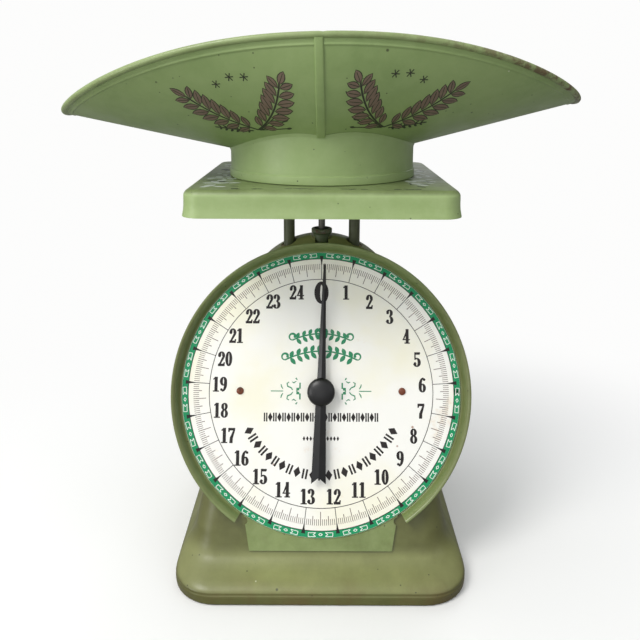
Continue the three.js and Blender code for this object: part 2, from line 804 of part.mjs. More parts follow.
function hangerBar() {
  const low = hangerZ - 4;
  const high = hangerZ + hangerHeight + 5;
  const depth = [postY - hangerHalfDepth, postY + hangerHalfDepth];
  const bar = box(-hangerHalfWidth, hangerHalfWidth, ...depth, hangerZ, hangerZ + hangerHeight);
  const holes = [-1, 1].map((side) =>
    uprightRod(wireHole, low, high, side * springX, postY, 12),
  );
  return cut(bar, uprightRod(rodRadius + 0.15, low, high, 0, postY), ...holes);
}

function hangerRod() {
  const under = hangerZ - gap;
  const profile = [[0, under - 2.5], [4, under - 2.5], [4, under], [rodRadius, under]];
  profile.push([rodRadius, rodTopZ - 0.8], [rodRadius - 0.8, rodTopZ], [0, rodTopZ]);
  return uprightTurned(profile, 0, postY);
}

// A small bridge hung under the crown, on which the zero nut bears.
function nutSeat() {
  const top = nutBottomZ - gap;
  const sheet = nutSeatSheet;
  const half = nutSeatHalf;
  const floor = box(-half, half, -0.6, 12, top - sheet, top);
  const wings = [-half, half - sheet].map((x) =>
    box(x, x + sheet, 4.5, 12, top - sheet, top + 1.4),
  );
  return cut(join(floor, ...wings), uprightRod(rodRadius + 0.4, top - 7, top + 3, 0, postY));
}

// A knurled cup: a rough rim round a hollow top, threaded on the hanger rod.
function zeroNut() {
  const bore = rodRadius + 0.1;
  const low = nutBottomZ;
  const high = nutBottomZ + nutHeight;
  const lip = high - nutLipHeight;
  const profile = [[bore, low], [nutBodyRadius, low], [nutBodyRadius, lip - 0.8]];
  const hollow = nutLipRadius - nutLipWall;
  profile.push([nutLipRadius, lip], [nutLipRadius, high], [hollow, high]);
  profile.push([hollow, lip - 2], [bore, lip - 2]);
  const cup = uprightTurned(profile, 0, postY, 24);
  const grooves = Array.from({ length: nutGrooves }, (_, k) => {
    const angle = ((k + 0.5) * 2 * Math.PI) / nutGrooves;
    const x = (nutLipRadius + 0.2) * Math.cos(angle);
    const y = postY + (nutLipRadius + 0.2) * Math.sin(angle);
    return uprightRod(0.7, lip - 1, high + 1, x, y, 6);
  });
  return cut(cup, ...grooves);
}

for (const [word, side] of [["left", -1], ["right", 1]]) {
  addPart(objectGroup, `spring_${word}`, springSteel, spring(side));
}
addPart(objectGroup, "hanger_bar", steel, hangerBar());
addPart(objectGroup, "hanger_rod", steel, hangerRod());
addPart(objectGroup, "nut_seat", steel, nutSeat());
addPart(objectGroup, "zero_nut", steel, zeroNut());

// ---------------------------------------------------------------- scoop
// The sheet's height above the keel line where the rim stands, at a distance along the scoop.
function rimHeight(x) {
  const s = Math.abs(x) / scoopHalfLength;
  const rim = rimTopZ - rimFall * s ** rimPower;
  return Math.max(rim - keelZ - keelSlope * Math.abs(x), 0);
}

// The rim as [x, arc length round the section] at a turn from -90 to 90 degrees.
function rimPoint(turn) {
  const x = scoopHalfLength * Math.sin(turn);
  return [x, scoopRadius * Math.acos(1 - rimHeight(x) / scoopRadius)];
}

// The same line drawn in from the rim by a distance.
function insideRim(turn, inset) {
  const step = 1e-3;
  const [x0, a0] = rimPoint(turn - step);
  const [x1, a1] = rimPoint(turn + step);
  const length = Math.hypot(x1 - x0, a1 - a0);
  const [x, a] = rimPoint(turn);
  return [x + ((a1 - a0) / length) * inset, a - ((x1 - x0) / length) * inset];
}

const tiltAxis = new THREE.Vector3(0, 1, 0);

// A point of the sheet: distance along, arc length across, and depth below the inside.
function sheetPoint(x, arc, depth) {
  const beta = arc / scoopRadius;
  const slope = keelSlope * Math.sign(x);
  const normal = new THREE.Vector3(-slope * Math.cos(beta), -Math.sin(beta), Math.cos(beta));
  const z = keelZ + keelSlope * Math.abs(x) + scoopRadius * (1 - Math.cos(beta));
  const point = new THREE.Vector3(x, scoopRadius * Math.sin(beta), z);
  point.addScaledVector(normal.normalize(), -depth);
  const keelPoint = new THREE.Vector3(0, 0, keelZ);
  return point.sub(keelPoint).applyAxisAngle(tiltAxis, -scoopTilt).add(keelPoint);
}

const sheetColumns = 20;
const rimGap = rimBead + 0.4;

function sheetRing(x, arcHalf, top, bottom) {
  const along = Array.from({ length: sheetColumns + 1 }, (_, k) => (2 * k) / sheetColumns - 1);
  const upper = along.map((t) => sheetPoint(x, arcHalf * t, top));
  const lower = along.map((t) => sheetPoint(x, arcHalf * t, bottom)).reverse();
  return [...upper, ...lower];
}

function scoopHalf(side) {
  const steps = 14;
  const rings = [];
  for (let i = 0; i <= steps; i += 1) {
    const turn = (i / steps) * 1.5;
    const [x, arc] = insideRim(turn, rimGap);
    const distance = i === 0 ? 0.25 : x;
    rings.push(sheetRing(side * distance, arc, 0, scoopSheet));
  }
  return skin(rings);
}

function seamStrip() {
  const [, arc] = insideRim(0, rimGap);
  const top = scoopSheet + 0.25;
  const bottom = top + seamStripSheet;
  const rows = [-seamStripHalf, -0.01, 0.01, seamStripHalf];
  return skin(rows.map((x) => sheetRing(x, arc, top, bottom)));
}

function scoopRim() {
  const half = Array.from({ length: 31 }, (_, i) => (i / 30 - 0.5) * Math.PI);
  const front = half.map((turn) => {
    const [x, arc] = rimPoint(turn);
    return sheetPoint(x, -arc, 0);
  });
  const rear = half
    .slice(1, -1)
    .reverse()
    .map((turn) => {
      const [x, arc] = rimPoint(turn);
      return sheetPoint(x, arc, 0);
    });
  return wire([...front, ...rear], rimBead, 6, true);
}

// A round foot soldered under the scoop, with a turned-out hem where it stands.
function footRing() {
  const steps = 48;
  const low = platformTopZ + gap;
  const rings = Array.from({ length: steps }, (_, k) => {
    const angle = (2 * Math.PI * k) / steps;
    const at = (radius, z) =>
      new THREE.Vector3(radius * Math.cos(angle), radius * Math.sin(angle), z);
    const y = footRingRadius * Math.sin(angle);
    const x = footRingRadius * Math.cos(angle);
    const sheetZ =
      keelZ + keelSlope * Math.abs(x) + scoopRadius - Math.sqrt(scoopRadius ** 2 - y ** 2);
    const tilted = x * Math.tan(scoopTilt);
    const underStrip = Math.abs(x) < 9 ? 1.2 : 0;
    const top = sheetZ + tilted - 2 - underStrip;
    const outer = footRingRadius;
    const inner = footRingRadius - footRingSheet;
    return [
      at(inner, low),
      at(outer + footHemWidth, low),
      at(outer + footHemWidth, low + footHemHeight),
      at(outer, low + footHemHeight + footHemWidth),
      at(outer, top),
      at(inner, top),
    ];
  });
  return skin(rings, true);
}

addPart(objectGroup, "scoop_left", scoopPaint, scoopHalf(-1));
addPart(objectGroup, "scoop_right", scoopPaint, scoopHalf(1));
addPart(objectGroup, "scoop_seam_strip", scoopPaint, seamStrip());
addPart(objectGroup, "scoop_rim", scoopPaint, scoopRim());
addPart(objectGroup, "foot_ring", scoopPaint, footRing());

export default objectGroup;
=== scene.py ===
# The looks of a sprung dial scale: worn green enamel on pressed steel, a printed dial with a
# black pointer, and a loose scoop. Everything is in metres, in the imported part's own frame.
import json
import math
import random

import bmesh
import bpy
from mathutils import Matrix, Vector
from mathutils.geometry import delaunay_2d_cdt


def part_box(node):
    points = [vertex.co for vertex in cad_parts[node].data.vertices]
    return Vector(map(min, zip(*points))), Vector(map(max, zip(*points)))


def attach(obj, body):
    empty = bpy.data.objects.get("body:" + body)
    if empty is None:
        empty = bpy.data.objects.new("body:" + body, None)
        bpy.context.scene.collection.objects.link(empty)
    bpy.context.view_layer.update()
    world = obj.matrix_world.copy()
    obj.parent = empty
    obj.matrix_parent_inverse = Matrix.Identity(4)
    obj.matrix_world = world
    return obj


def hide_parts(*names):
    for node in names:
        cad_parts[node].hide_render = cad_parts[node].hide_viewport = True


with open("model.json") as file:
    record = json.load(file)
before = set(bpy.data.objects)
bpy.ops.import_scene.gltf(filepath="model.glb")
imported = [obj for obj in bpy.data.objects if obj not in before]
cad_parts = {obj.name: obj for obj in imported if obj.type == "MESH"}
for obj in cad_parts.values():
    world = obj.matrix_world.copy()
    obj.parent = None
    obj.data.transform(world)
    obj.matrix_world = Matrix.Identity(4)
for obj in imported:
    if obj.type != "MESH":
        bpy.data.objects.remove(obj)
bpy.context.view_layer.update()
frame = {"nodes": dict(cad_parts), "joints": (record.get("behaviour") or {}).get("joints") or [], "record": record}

MM = 0.001
TURN = 2 * math.pi

# ------------------------------------------------------------------ places from the frame
joints = {joint["name"]: joint for joint in frame["joints"]}


def low(node):
    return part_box(node)[0]


def high(node):
    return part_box(node)[1]


def middle(node):
    return (low(node) + high(node)) / 2


dial_centre = Vector(joints["pointer_turn"]["pos_m"])
dial_inward = Vector(joints["pointer_turn"]["axis"]).normalized()
dial_up = Vector((0, -dial_inward.z, dial_inward.y))
lean_slope = dial_up.y / dial_up.z
lean_cos = dial_up.z
dial_radius = high("dial_face").x
bezel_radius = high("front_plate").x

base_half = high("base_shell").x
platform_half = high("platform").x
platform_top = high("platform").z
platform_bottom = low("platform").z
post_x = middle("post_right").x
post_y = middle("post_right").y
post_radius = high("post_right").x - post_x
nut_low = low("zero_nut").z
nut_high = high("zero_nut").z
nut_lip_radius = high("zero_nut").x
ring_low = low("foot_ring").z


def on_dial(x, up, out=0.0):
    """A point of the dial: right, up, and towards the reader from its face."""
    return dial_centre + Vector((x, 0, 0)) + dial_up * up - dial_inward * out


# ------------------------------------------------------------------ mesh building
def piece(name, points, faces, body, slot, material, sharp=35, stands_for=()):
    """A closed mesh as a piece that rides on a body and stands for CAD nodes."""
    mesh = bpy.data.meshes.new(name)
    mesh.from_pydata([tuple(p) for p in points], [], faces)
    work = bmesh.new()
    work.from_mesh(mesh)
    bmesh.ops.remove_doubles(work, verts=work.verts, dist=1e-6)
    bmesh.ops.dissolve_degenerate(work, dist=1e-7, edges=work.edges)
    bmesh.ops.recalc_face_normals(work, faces=work.faces)
    work.to_mesh(mesh)
    work.free()
    mesh.shade_smooth()
    mesh.set_sharp_from_angle(angle=math.radians(sharp))
    made = bpy.data.objects.new(name, mesh)
    bpy.context.scene.collection.objects.link(made)
    mesh.materials.append(material)
    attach(made, body)
    if stands_for:
        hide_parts(*stands_for)
    return made


def skin(rings, loop=False):
    """Points and faces over rings of equally many points; open ends are capped."""
    count = len(rings[0])
    points = [p for ring in rings for p in ring]
    faces = []
    steps = len(rings) if loop else len(rings) - 1
    for i in range(steps):
        here = i * count
        there = ((i + 1) % len(rings)) * count
        for j in range(count):
            k = (j + 1) % count
            faces.append((here + j, here + k, there + k, there + j))
    if not loop:
        end = (len(rings) - 1) * count
        for j in range(count // 2 - 1):
            faces.append((j, j + 1, count - 2 - j, count - 1 - j))
            faces.append((end + j, end + j + 1, end + count - 2 - j, end + count - 1 - j))
    return points, faces


def turned(profile, place, steps=64):
    """A turned solid: a closed profile of (radius, height) swept round place(x, y, height)."""
    rings = []
    for i in range(steps):
        angle = TURN * i / steps
        rings.append([place(r * math.cos(angle), r * math.sin(angle), h) for r, h in profile])
    return skin(rings, loop=True)


def upright(x, y):
    """The place function of a piece turned about an upright axis."""
    return lambda across, deep, height: Vector((x + across, y + deep, height))


def on_dial_turned(across, up, out):
    return on_dial(across, up, out)


def arc(centre, radius, start, end, steps):
    """Points of a flat arc, angles in degrees."""
    angles = [math.radians(start + (end - start) * k / steps) for k in range(steps + 1)]
    return [(centre[0] + radius * math.cos(a), centre[1] + radius * math.sin(a)) for a in angles]


def wire(path, radius, sides=12, loop=False):
    """A round wire along a list of points; radius may be a function of the point's number."""
    rings = []
    across = None
    last = len(path) - 1
    for i, point in enumerate(path):
        before = path[i - 1] if loop or i > 0 else path[0]
        after = path[(i + 1) % len(path)] if loop or i < last else path[last]
        along = (after - before).normalized()
        if across is None:
            across = Vector((0.3, 0.2, 1)).cross(along)
        across = (across - along * across.dot(along)).normalized()
        other = along.cross(across)
        size = radius(i) if callable(radius) else radius
        ring = []
        for j in range(sides):
            angle = TURN * j / sides
            ring.append(point + across * size * math.cos(angle) + other * size * math.sin(angle))
        rings.append(ring)
    return skin(rings, loop)


# ------------------------------------------------------------------ material building
class Look:
    """A node material built up step by step; its coordinates are metres in the part's frame."""

    def __init__(self, name):
        self.material = bpy.data.materials.new(name)
        self.material.use_nodes = True
        self.nodes = self.material.node_tree.nodes
        self.links = self.material.node_tree.links
        self.shader = self.nodes["Principled BSDF"]
        self.coords = self.nodes.new("ShaderNodeTexCoord").outputs["Object"]

    def feed(self, socket, value):
        if isinstance(value, bpy.types.NodeSocket):
            self.links.new(value, socket)
        elif hasattr(value, "__len__") and len(value) == 3 and socket.type == "RGBA":
            socket.default_value = (*value, 1)
        else:
            socket.default_value = value

    def noise(self, scale, detail=4, roughness=0.55, stretch=(1, 1, 1), shift=0.0):
        mapping = self.nodes.new("ShaderNodeMapping")
        mapping.inputs["Scale"].default_value = stretch
        mapping.inputs["Location"].default_value = (shift, shift * 0.7, -shift)
        self.links.new(self.coords, mapping.inputs["Vector"])
        node = self.nodes.new("ShaderNodeTexNoise")
        node.inputs["Scale"].default_value = scale
        node.inputs["Detail"].default_value = detail
        node.inputs["Roughness"].default_value = roughness
        self.links.new(mapping.outputs["Vector"], node.inputs["Vector"])
        return node.outputs["Fac"]

    def cells(self, scale, randomness=1.0):
        """Distance to the nearest scattered point, and that point's random value."""
        node = self.nodes.new("ShaderNodeTexVoronoi")
        node.inputs["Scale"].default_value = scale
        node.inputs["Randomness"].default_value = randomness
        self.links.new(self.coords, node.inputs["Vector"])
        parts = self.nodes.new("ShaderNodeSeparateColor")
        self.links.new(node.outputs["Color"], parts.inputs["Color"])
        return node.outputs["Distance"], parts.outputs["Red"]

    def ramp(self, value, start, end, low_out=0.0, high_out=1.0):
        node = self.nodes.new("ShaderNodeMapRange")
        node.interpolation_type = "SMOOTHSTEP"
        self.feed(node.inputs["Value"], value)
        node.inputs["From Min"].default_value = start
        node.inputs["From Max"].default_value = end
        node.inputs["To Min"].default_value = low_out
        node.inputs["To Max"].default_value = high_out
        return node.outputs["Result"]

    def calc(self, operation, a, b=0.0):
        node = self.nodes.new("ShaderNodeMath")
        node.operation = operation
        node.use_clamp = operation in ("ADD", "MULTIPLY", "SUBTRACT")
        self.feed(node.inputs[0], a)
        self.feed(node.inputs[1], b)
        return node.outputs[0]

    def blend(self, amount, first, second, mode="MIX"):
        node = self.nodes.new("ShaderNodeMix")
        node.data_type = "RGBA"
        node.blend_type = mode
        self.feed(node.inputs["Factor"], amount)
        self.feed(node.inputs[6], first)
        self.feed(node.inputs[7], second)
        return node.outputs[2]

    def place(self, axis):
        parts = self.nodes.new("ShaderNodeSeparateXYZ")
        self.links.new(self.coords, parts.inputs[0])
        return parts.outputs[axis]

    def edges(self, start, end):
        """How far a convex edge stands out, from the mesh's own shape."""
        geometry = self.nodes.new("ShaderNodeNewGeometry")
        return self.ramp(geometry.outputs["Pointiness"], start, end)

    def upward(self):
        """How far the surface faces up, from -1 to 1."""
        geometry = self.nodes.new("ShaderNodeNewGeometry")
        parts = self.nodes.new("ShaderNodeSeparateXYZ")
        self.links.new(geometry.outputs["Normal"], parts.inputs[0])
        return parts.outputs["Z"]

    def specks(self, scale, size, share):
        """Scattered dots of at most a size, in cells; share is how many cells hold one."""
        distance, chance = self.cells(scale)
        dot = self.ramp(distance, size, size * 0.55)
        return self.calc("MULTIPLY", dot, self.ramp(chance, 1 - share, 1 - share + 0.02))

    def bump(self, height, strength, distance, base=None):
        node = self.nodes.new("ShaderNodeBump")
        node.inputs["Strength"].default_value = strength
        node.inputs["Distance"].default_value = distance
        self.feed(node.inputs["Height"], height)
        if base is not None:
            self.links.new(base, node.inputs["Normal"])
        return node.outputs["Normal"]

    def finish(self, colour, roughness, metallic=0.0, normal=None, coat=0.0):
        self.feed(self.shader.inputs["Base Color"], colour)
        self.feed(self.shader.inputs["Roughness"], roughness)
        self.feed(self.shader.inputs["Metallic"], metallic)
        self.shader.inputs["Coat Weight"].default_value = coat
        self.shader.inputs["Coat Roughness"].default_value = 0.25
        if normal is not None:
            self.links.new(normal, self.shader.inputs["Normal"])
        return self.material


def srgb(red, green, blue):
    """A colour named by its 0 to 255 screen values, as the linear numbers a shader takes."""
    def linear(v):
        v = v / 255
        return v / 12.92 if v <= 0.04045 else ((v + 0.055) / 1.055) ** 2.4
    return (linear(red), linear(green), linear(blue))


RUST = srgb(104, 62, 38)
DARK_RUST = srgb(62, 40, 28)


def enamel(name, main, shade, pale, grime_low=0.0, grime_high=0.0, rust=0.2, specks=0.25,
           top=None, rust_along_x=None, side_shade=None):
    """Old baked enamel: uneven tone, grime, dark specks, pale chips and rusty edges; where asked, a colour on
    upward faces (painted light on the case) and painted shade towards both sides.
    """
    look = Look(name)
    tone = look.ramp(look.noise(14, 5, 0.6), 0.35, 0.7)
    colour = look.blend(tone, main, shade)
    fine = look.ramp(look.noise(90, 6, 0.65, shift=3.1), 0.3, 0.75, 0.0, 0.35)
    colour = look.blend(fine, colour, pale)
    # Where asked, upward faces take the top colour: on the case this is painted light from above; on the platform
    # it gives a darker top.
    if top is not None:
        cloud = look.ramp(look.noise(32, 6, 0.7, shift=15.0), 0.25, 0.75, 0.55, 1.0)
        facing_up = look.ramp(look.upward(), 0.25, 0.75)
        colour = look.blend(look.calc("MULTIPLY", facing_up, cloud), colour, top)
    if grime_high > grime_low:
        height = look.ramp(look.place("Z"), grime_high, grime_low)
        cloud = look.ramp(look.noise(28, 6, 0.65, shift=7.7), 0.38, 0.72)
        grime = look.calc("MULTIPLY", height, cloud)
        colour = look.blend(look.calc("MULTIPLY", grime, 0.75), colour, srgb(104, 78, 46))
    # Painted shade: towards both sides, further from the middle in x, the colour is drawn to a dark olive brown.
    if side_shade is not None:
        aside = look.calc("ABSOLUTE", look.place("X"), 0.0)
        colour = look.blend(look.ramp(aside, *side_shade), colour, srgb(78, 70, 38))
    big_specks = look.specks(75, 0.09, specks)
    small_specks = look.specks(210, 0.13, specks * 0.8)
    pale_specks = look.specks(120, 0.07, specks * 0.3)
    dots = look.calc("MAXIMUM", big_specks, small_specks)
    colour = look.blend(look.calc("MULTIPLY", dots, 0.8), colour, srgb(58, 62, 40))
    colour = look.blend(look.calc("MULTIPLY", pale_specks, 0.7), colour, srgb(214, 218, 190))
    worn = look.calc("MULTIPLY", look.edges(0.515, 0.56), look.ramp(look.noise(60, 5, 0.7), 0.5, 0.66))
    patches = look.ramp(look.noise(24, 8, 0.75, shift=11.0), 0.74 - 0.1 * rust, 0.8 - 0.1 * rust)
    worn = look.calc("MULTIPLY", worn, min(1.0, 4 * rust))
    bare = look.calc("MAXIMUM", worn, look.calc("MULTIPLY", patches, rust))
    if rust_along_x is not None:
        spread = look.ramp(look.place("X"), *rust_along_x)
        flakes = look.ramp(look.noise(150, 6, 0.75, shift=21.0), 0.4, 0.6, 0.0, 0.9)
        bare = look.calc("MAXIMUM", bare, look.calc("MULTIPLY", spread, flakes))
    rust_tone = look.blend(look.noise(300, 4), RUST, DARK_RUST)
    colour = look.blend(bare, colour, rust_tone)
    rough = look.ramp(look.noise(45, 5, shift=5.0), 0.3, 0.7, 0.34, 0.5)
    rough = look.calc("MAXIMUM", rough, look.calc("MULTIPLY", bare, 0.8))
    skin_height = look.calc("SUBTRACT", look.noise(420, 3, 0.5), look.calc("MULTIPLY", dots, 0.6))
    normal = look.bump(skin_height, 0.12, 0.0004)
    normal = look.bump(look.noise(20, 2, shift=1.7), 0.18, 0.0022, normal)
    return look.finish(colour, rough, 0.0, normal, coat=0.12)


def bare_metal(name, main, dark, metallic=0.85, grain=(1, 1, 1), rust=0.0):
    """Dull metal with handling marks, and rust where asked."""
    look = Look(name)
    tone = look.ramp(look.noise(60, 6, 0.65), 0.3, 0.7)
    colour = look.blend(tone, main, dark)
    streaks = look.noise(500, 3, 0.5, stretch=grain)
    colour = look.blend(look.ramp(streaks, 0.4, 0.7, 0.0, 0.3), colour, dark)
    spots = look.ramp(look.noise(130, 6, 0.7, shift=4.0), 0.66 - 0.3 * rust, 0.74 - 0.3 * rust)
    colour = look.blend(spots, colour, look.blend(look.noise(400), RUST, DARK_RUST))
    rough = look.ramp(tone, 0, 1, 0.32, 0.5)
    rough = look.calc("MAXIMUM", rough, look.calc("MULTIPLY", spots, 0.85))
    metal = look.calc("SUBTRACT", metallic, look.calc("MULTIPLY", spots, metallic))
    normal = look.bump(look.calc("ADD", streaks, spots), 0.15, 0.0003)
    return look.finish(colour, rough, metal, normal)


# Painted light and shade on the case: its main colour is darkened as painted shade on the steep walls, and its top
# colour lightens the upward faces as painted light from above.
case_paint = enamel(
    "case_enamel", srgb(96, 99, 52), srgb(86, 88, 44), srgb(114, 118, 68),
    grime_low=0.0, grime_high=0.018, rust=0.06, specks=0.25, top=srgb(138, 143, 88),
    # Painted shade towards the case's left and right sides.
    side_shade=(0.05, 0.09, 0.0, 0.25),
)
platform_paint = enamel(
    "platform_enamel", srgb(156, 178, 118), srgb(146, 168, 106), srgb(174, 192, 138),
    rust=0.0, specks=0.16, top=srgb(104, 116, 74),
)
scoop_paint = enamel(
    "scoop_enamel", srgb(140, 162, 102), srgb(126, 150, 90), srgb(156, 176, 118),
    rust=0.0, specks=0.32,
)
steel = bare_metal("dull_steel", srgb(150, 148, 140), srgb(92, 90, 84), rust=0.2)
dark_steel = bare_metal("spring_steel", srgb(96, 97, 100), srgb(50, 50, 54))
brass = bare_metal("dull_brass", srgb(176, 146, 84), srgb(120, 94, 48))
rusty_steel = bare_metal("rusty_steel", srgb(150, 104, 78), srgb(110, 70, 50), 0.4, rust=0.5)
bezel_paint = enamel(
    "bezel_enamel", srgb(126, 142, 84), srgb(110, 124, 70), srgb(154, 168, 114),
    # Painted shade on the flange's left and right.
    rust=0.02, specks=0.15, side_shade=(0.052, 0.1, 0.0, 0.45),
)
rim_paint = enamel(
    "rim_enamel", srgb(144, 162, 106), srgb(126, 144, 90), srgb(160, 176, 126),
    rust=0.3, specks=0.2, rust_along_x=(-0.02, 0.17),
)
ring_paint = enamel(
    "foot_enamel", srgb(144, 166, 108), srgb(132, 152, 94), srgb(158, 176, 122),
    rust=0.0, specks=0.24,
)
post_paint = enamel(
    "post_enamel", srgb(84, 90, 60), srgb(62, 66, 44), srgb(112, 118, 84),
    rust=0.3, specks=0.3,
)
nut_paint = enamel(
    "nut_enamel", srgb(84, 98, 66), srgb(60, 72, 46), srgb(120, 132, 92),
    rust=0.3, specks=0.3,
)
rivet_rust = bare_metal("rivet_rust", srgb(150, 84, 56), srgb(112, 58, 38), 0.15, rust=0.4)


def glossy_black():
    look = Look("black_enamel")
    tone = look.ramp(look.noise(70, 5), 0.3, 0.7)
    colour = look.blend(tone, srgb(9, 9, 11), srgb(18, 17, 18))
    dust = look.specks(160, 0.1, 0.25)
    colour = look.blend(look.calc("MULTIPLY", dust, 0.5), colour, srgb(110, 104, 96))
    rough = look.ramp(look.noise(50, 4, shift=2.0), 0.3, 0.7, 0.3, 0.42)
    return look.finish(colour, rough, 0.0, look.bump(look.noise(350, 3), 0.1, 0.0003), coat=0.1)


def ink(name, main, faded, wear=0.25):
    """Printed ink, thin and a little uneven."""
    look = Look(name)
    cloud = look.ramp(look.noise(120, 6, 0.7), 0.45, 0.75)
    colour = look.blend(look.calc("MULTIPLY", cloud, wear), main, faded)
    return look.finish(colour, 0.5, 0.0, look.bump(look.noise(600, 2), 0.05, 0.0002))


def cream_enamel():
    """White enamel gone cream, with tan blotches and rust specks."""
    look = Look("cream_enamel")
    warm = look.ramp(look.noise(16, 4, 0.5), 0.42, 0.68)
    colour = look.blend(warm, srgb(250, 249, 243), srgb(248, 245, 224))
    blotch = look.ramp(look.noise(30, 7, 0.7, shift=9.0), 0.62, 0.78, 0.0, 0.6)
    colour = look.blend(blotch, colour, srgb(226, 196, 158))
    small = look.specks(95, 0.11, 0.12)
    colour = look.blend(look.calc("MULTIPLY", small, 0.75), colour, srgb(150, 96, 60))
    rough = look.ramp(look.noise(40, 4), 0.3, 0.7, 0.28, 0.4)
    return look.finish(colour, rough, 0.0, look.bump(look.noise(260, 3), 0.05, 0.0003), coat=0.3)


black_paint = glossy_black()
dial_enamel = cream_enamel()
black_ink = ink("black_ink", srgb(24, 16, 16), srgb(76, 54, 46), 0.15)
brown_ink = ink("brown_ink", srgb(92, 64, 54), srgb(160, 130, 110), 0.3)
green_ink = ink("green_ink", srgb(0, 146, 92), srgb(20, 160, 108), 0.25)
dark_green_ink = ink("dark_green_ink", srgb(34, 136, 92), srgb(90, 150, 110), 0.5)
white_ink = ink("white_ink", srgb(238, 246, 238), srgb(200, 222, 206), 0.3)
motif_brown = ink("motif_brown", srgb(116, 98, 82), srgb(136, 118, 98), 0.6)
motif_dark = ink("motif_dark", srgb(48, 52, 36), srgb(84, 88, 58), 0.4)
worn_pale = ink("worn_pale", srgb(190, 198, 190), srgb(140, 152, 124), 0.5)
worn_dark = ink("worn_dark", srgb(44, 52, 48), srgb(96, 108, 78), 0.6)

# ------------------------------------------------------------------ rings and booleans
def fine_ring(corners, wall_steps):
    """A ring through four corner fillets, with points along its walls; it starts mid-wall."""
    ring = []
    for number, corner in enumerate(corners):
        ring += corner
        start = corner[-1]
        end = corners[(number + 1) % 4][0]
        ring += [start.lerp(end, k / wall_steps) for k in range(1, wall_steps)]
    half_wall = wall_steps // 2
    return ring[-half_wall:] + ring[:-half_wall]


def square_ring(half, corner, height, corner_steps=10, wall_steps=9):
    """A level ring of a rounded square round the upright axis."""
    corners = []
    for quarter, (side, end) in enumerate([(1, 1), (-1, 1), (-1, -1), (1, -1)]):
        fillet = []
        for k in range(corner_steps + 1):
            turn = (quarter + k / corner_steps) * math.pi / 2
            x = side * (half - corner) + corner * math.cos(turn)
            y = end * (half - corner) + corner * math.sin(turn)
            fillet.append(Vector((x, y, height)))
        corners.append(fillet)
    return fine_ring(corners, wall_steps)


def rod(radius, low_end, high_end, place, steps=48):
    """A plain round bar between two heights of a place function."""
    return turned([(0, low_end), (radius, low_end), (radius, high_end), (0, high_end)], place, steps)


def tool(shape):
    """A loose mesh object for cutting or joining, from points and faces."""
    mesh = bpy.data.meshes.new("tool")
    mesh.from_pydata([tuple(p) for p in shape[0]], [], shape[1])
    work = bmesh.new()
    work.from_mesh(mesh)
    bmesh.ops.remove_doubles(work, verts=work.verts, dist=1e-6)
    bmesh.ops.dissolve_degenerate(work, dist=1e-7, edges=work.edges)
    bmesh.ops.recalc_face_normals(work, faces=work.faces)
    work.to_mesh(mesh)
    work.free()
    made = bpy.data.objects.new("tool", mesh)
    bpy.context.scene.collection.objects.link(made)
    return made


def combined(shape, steps):
    """Points and faces of a shape after exact booleans; steps are (operation, other shape)."""
    whole = tool(shape)
    others = []
    for operation, other in steps:
        helper = tool(other)
        others.append(helper)
        modifier = whole.modifiers.new("boolean", "BOOLEAN")
        modifier.operation = operation
        modifier.solver = "EXACT"
        modifier.object = helper
    bpy.context.view_layer.update()
    result = whole.evaluated_get(bpy.context.evaluated_depsgraph_get()).to_mesh()
    points = [v.co.copy() for v in result.vertices]
    faces = [tuple(f.vertices) for f in result.polygons]
    for made in (whole, *others):
        mesh = made.data
        bpy.data.objects.remove(made)
        bpy.data.meshes.remove(mesh)
    return points, faces


def even_normals(made):
    """Lets large flat faces keep their own shading beside narrow rounds."""
    modifier = made.modifiers.new("even_normals", "WEIGHTED_NORMAL")
    modifier.keep_sharp = True


# ------------------------------------------------------------------ case
CASE_SHEET = 1.5 * MM
SKIRT_HEIGHT = 6 * MM
BASE_CORNER = 30 * MM
BODY_CORNER = 16 * MM
CROWN_CORNER = 9 * MM
ARCH_RADIUS = 56.6 * MM
SIDE_SLOPE = 0.21
REAR_SLOPE = 0.34
REAR_TOP_Y = 24 * MM
REAR_TOP_Z = 215 * MM
SIDE_TOE_TOP = 36 * MM
FRONT_TOE_TOP = 24 * MM
FLANGE_WIDTH = 6 * MM
WALL_BEHIND_DIAL = 2.6 * MM
ARCH_END = math.radians(85)
arch_start = math.atan(SIDE_SLOPE)
arch_centre_z = high("base_shell").z - ARCH_RADIUS * math.sin(ARCH_END)
side_top_half = ARCH_RADIUS * math.cos(arch_start)
side_top_z = arch_centre_z + ARCH_RADIUS * math.sin(arch_start)


def body_front(height):
    return dial_centre.y + (height - dial_centre.z) * lean_slope + WALL_BEHIND_DIAL / lean_cos


def body_rear(height):
    return REAR_TOP_Y + (REAR_TOP_Z - height) * REAR_SLOPE


def body_half(height):
    return side_top_half + (side_top_z - height) * SIDE_SLOPE


def wall_distance(height, body_distance, top, slope):
    """How far a wall stands from the axis: skirt, then the swept toe, then the body's wall."""
    if height >= top:
        return body_distance(height)
    if height <= SKIRT_HEIGHT:
        return base_half
    rise = top - SKIRT_HEIGHT
    inset = base_half - body_distance(top)
    curve = [
        (0, SKIRT_HEIGHT),
        (0, SKIRT_HEIGHT + 0.42 * rise),
        (inset - slope * 0.55 * rise, top - 0.55 * rise),
        (inset, top),
    ]
    start, end = 0.0, 1.0
    for _ in range(30):
        t = (start + end) / 2
        if bezier(curve, t)[1] < height:
            start = t
        else:
            end = t
    return base_half - bezier(curve, start)[0]


def bezier(points, t):
    weights = ((1 - t) ** 3, 3 * t * (1 - t) ** 2, 3 * t * t * (1 - t), t ** 3)
    return tuple(sum(w * p[axis] for w, p in zip(weights, points)) for axis in (0, 1))


def hem_groove(height):
    """The skirt's edge is rolled under, with a shallow crease above it."""
    crease = 0.5 * MM * math.exp(-(((height - 7.2 * MM) / (0.8 * MM)) ** 2))
    rolled = 0.9 * MM * max(0, 1 - height / (1.2 * MM)) ** 2
    return crease + rolled


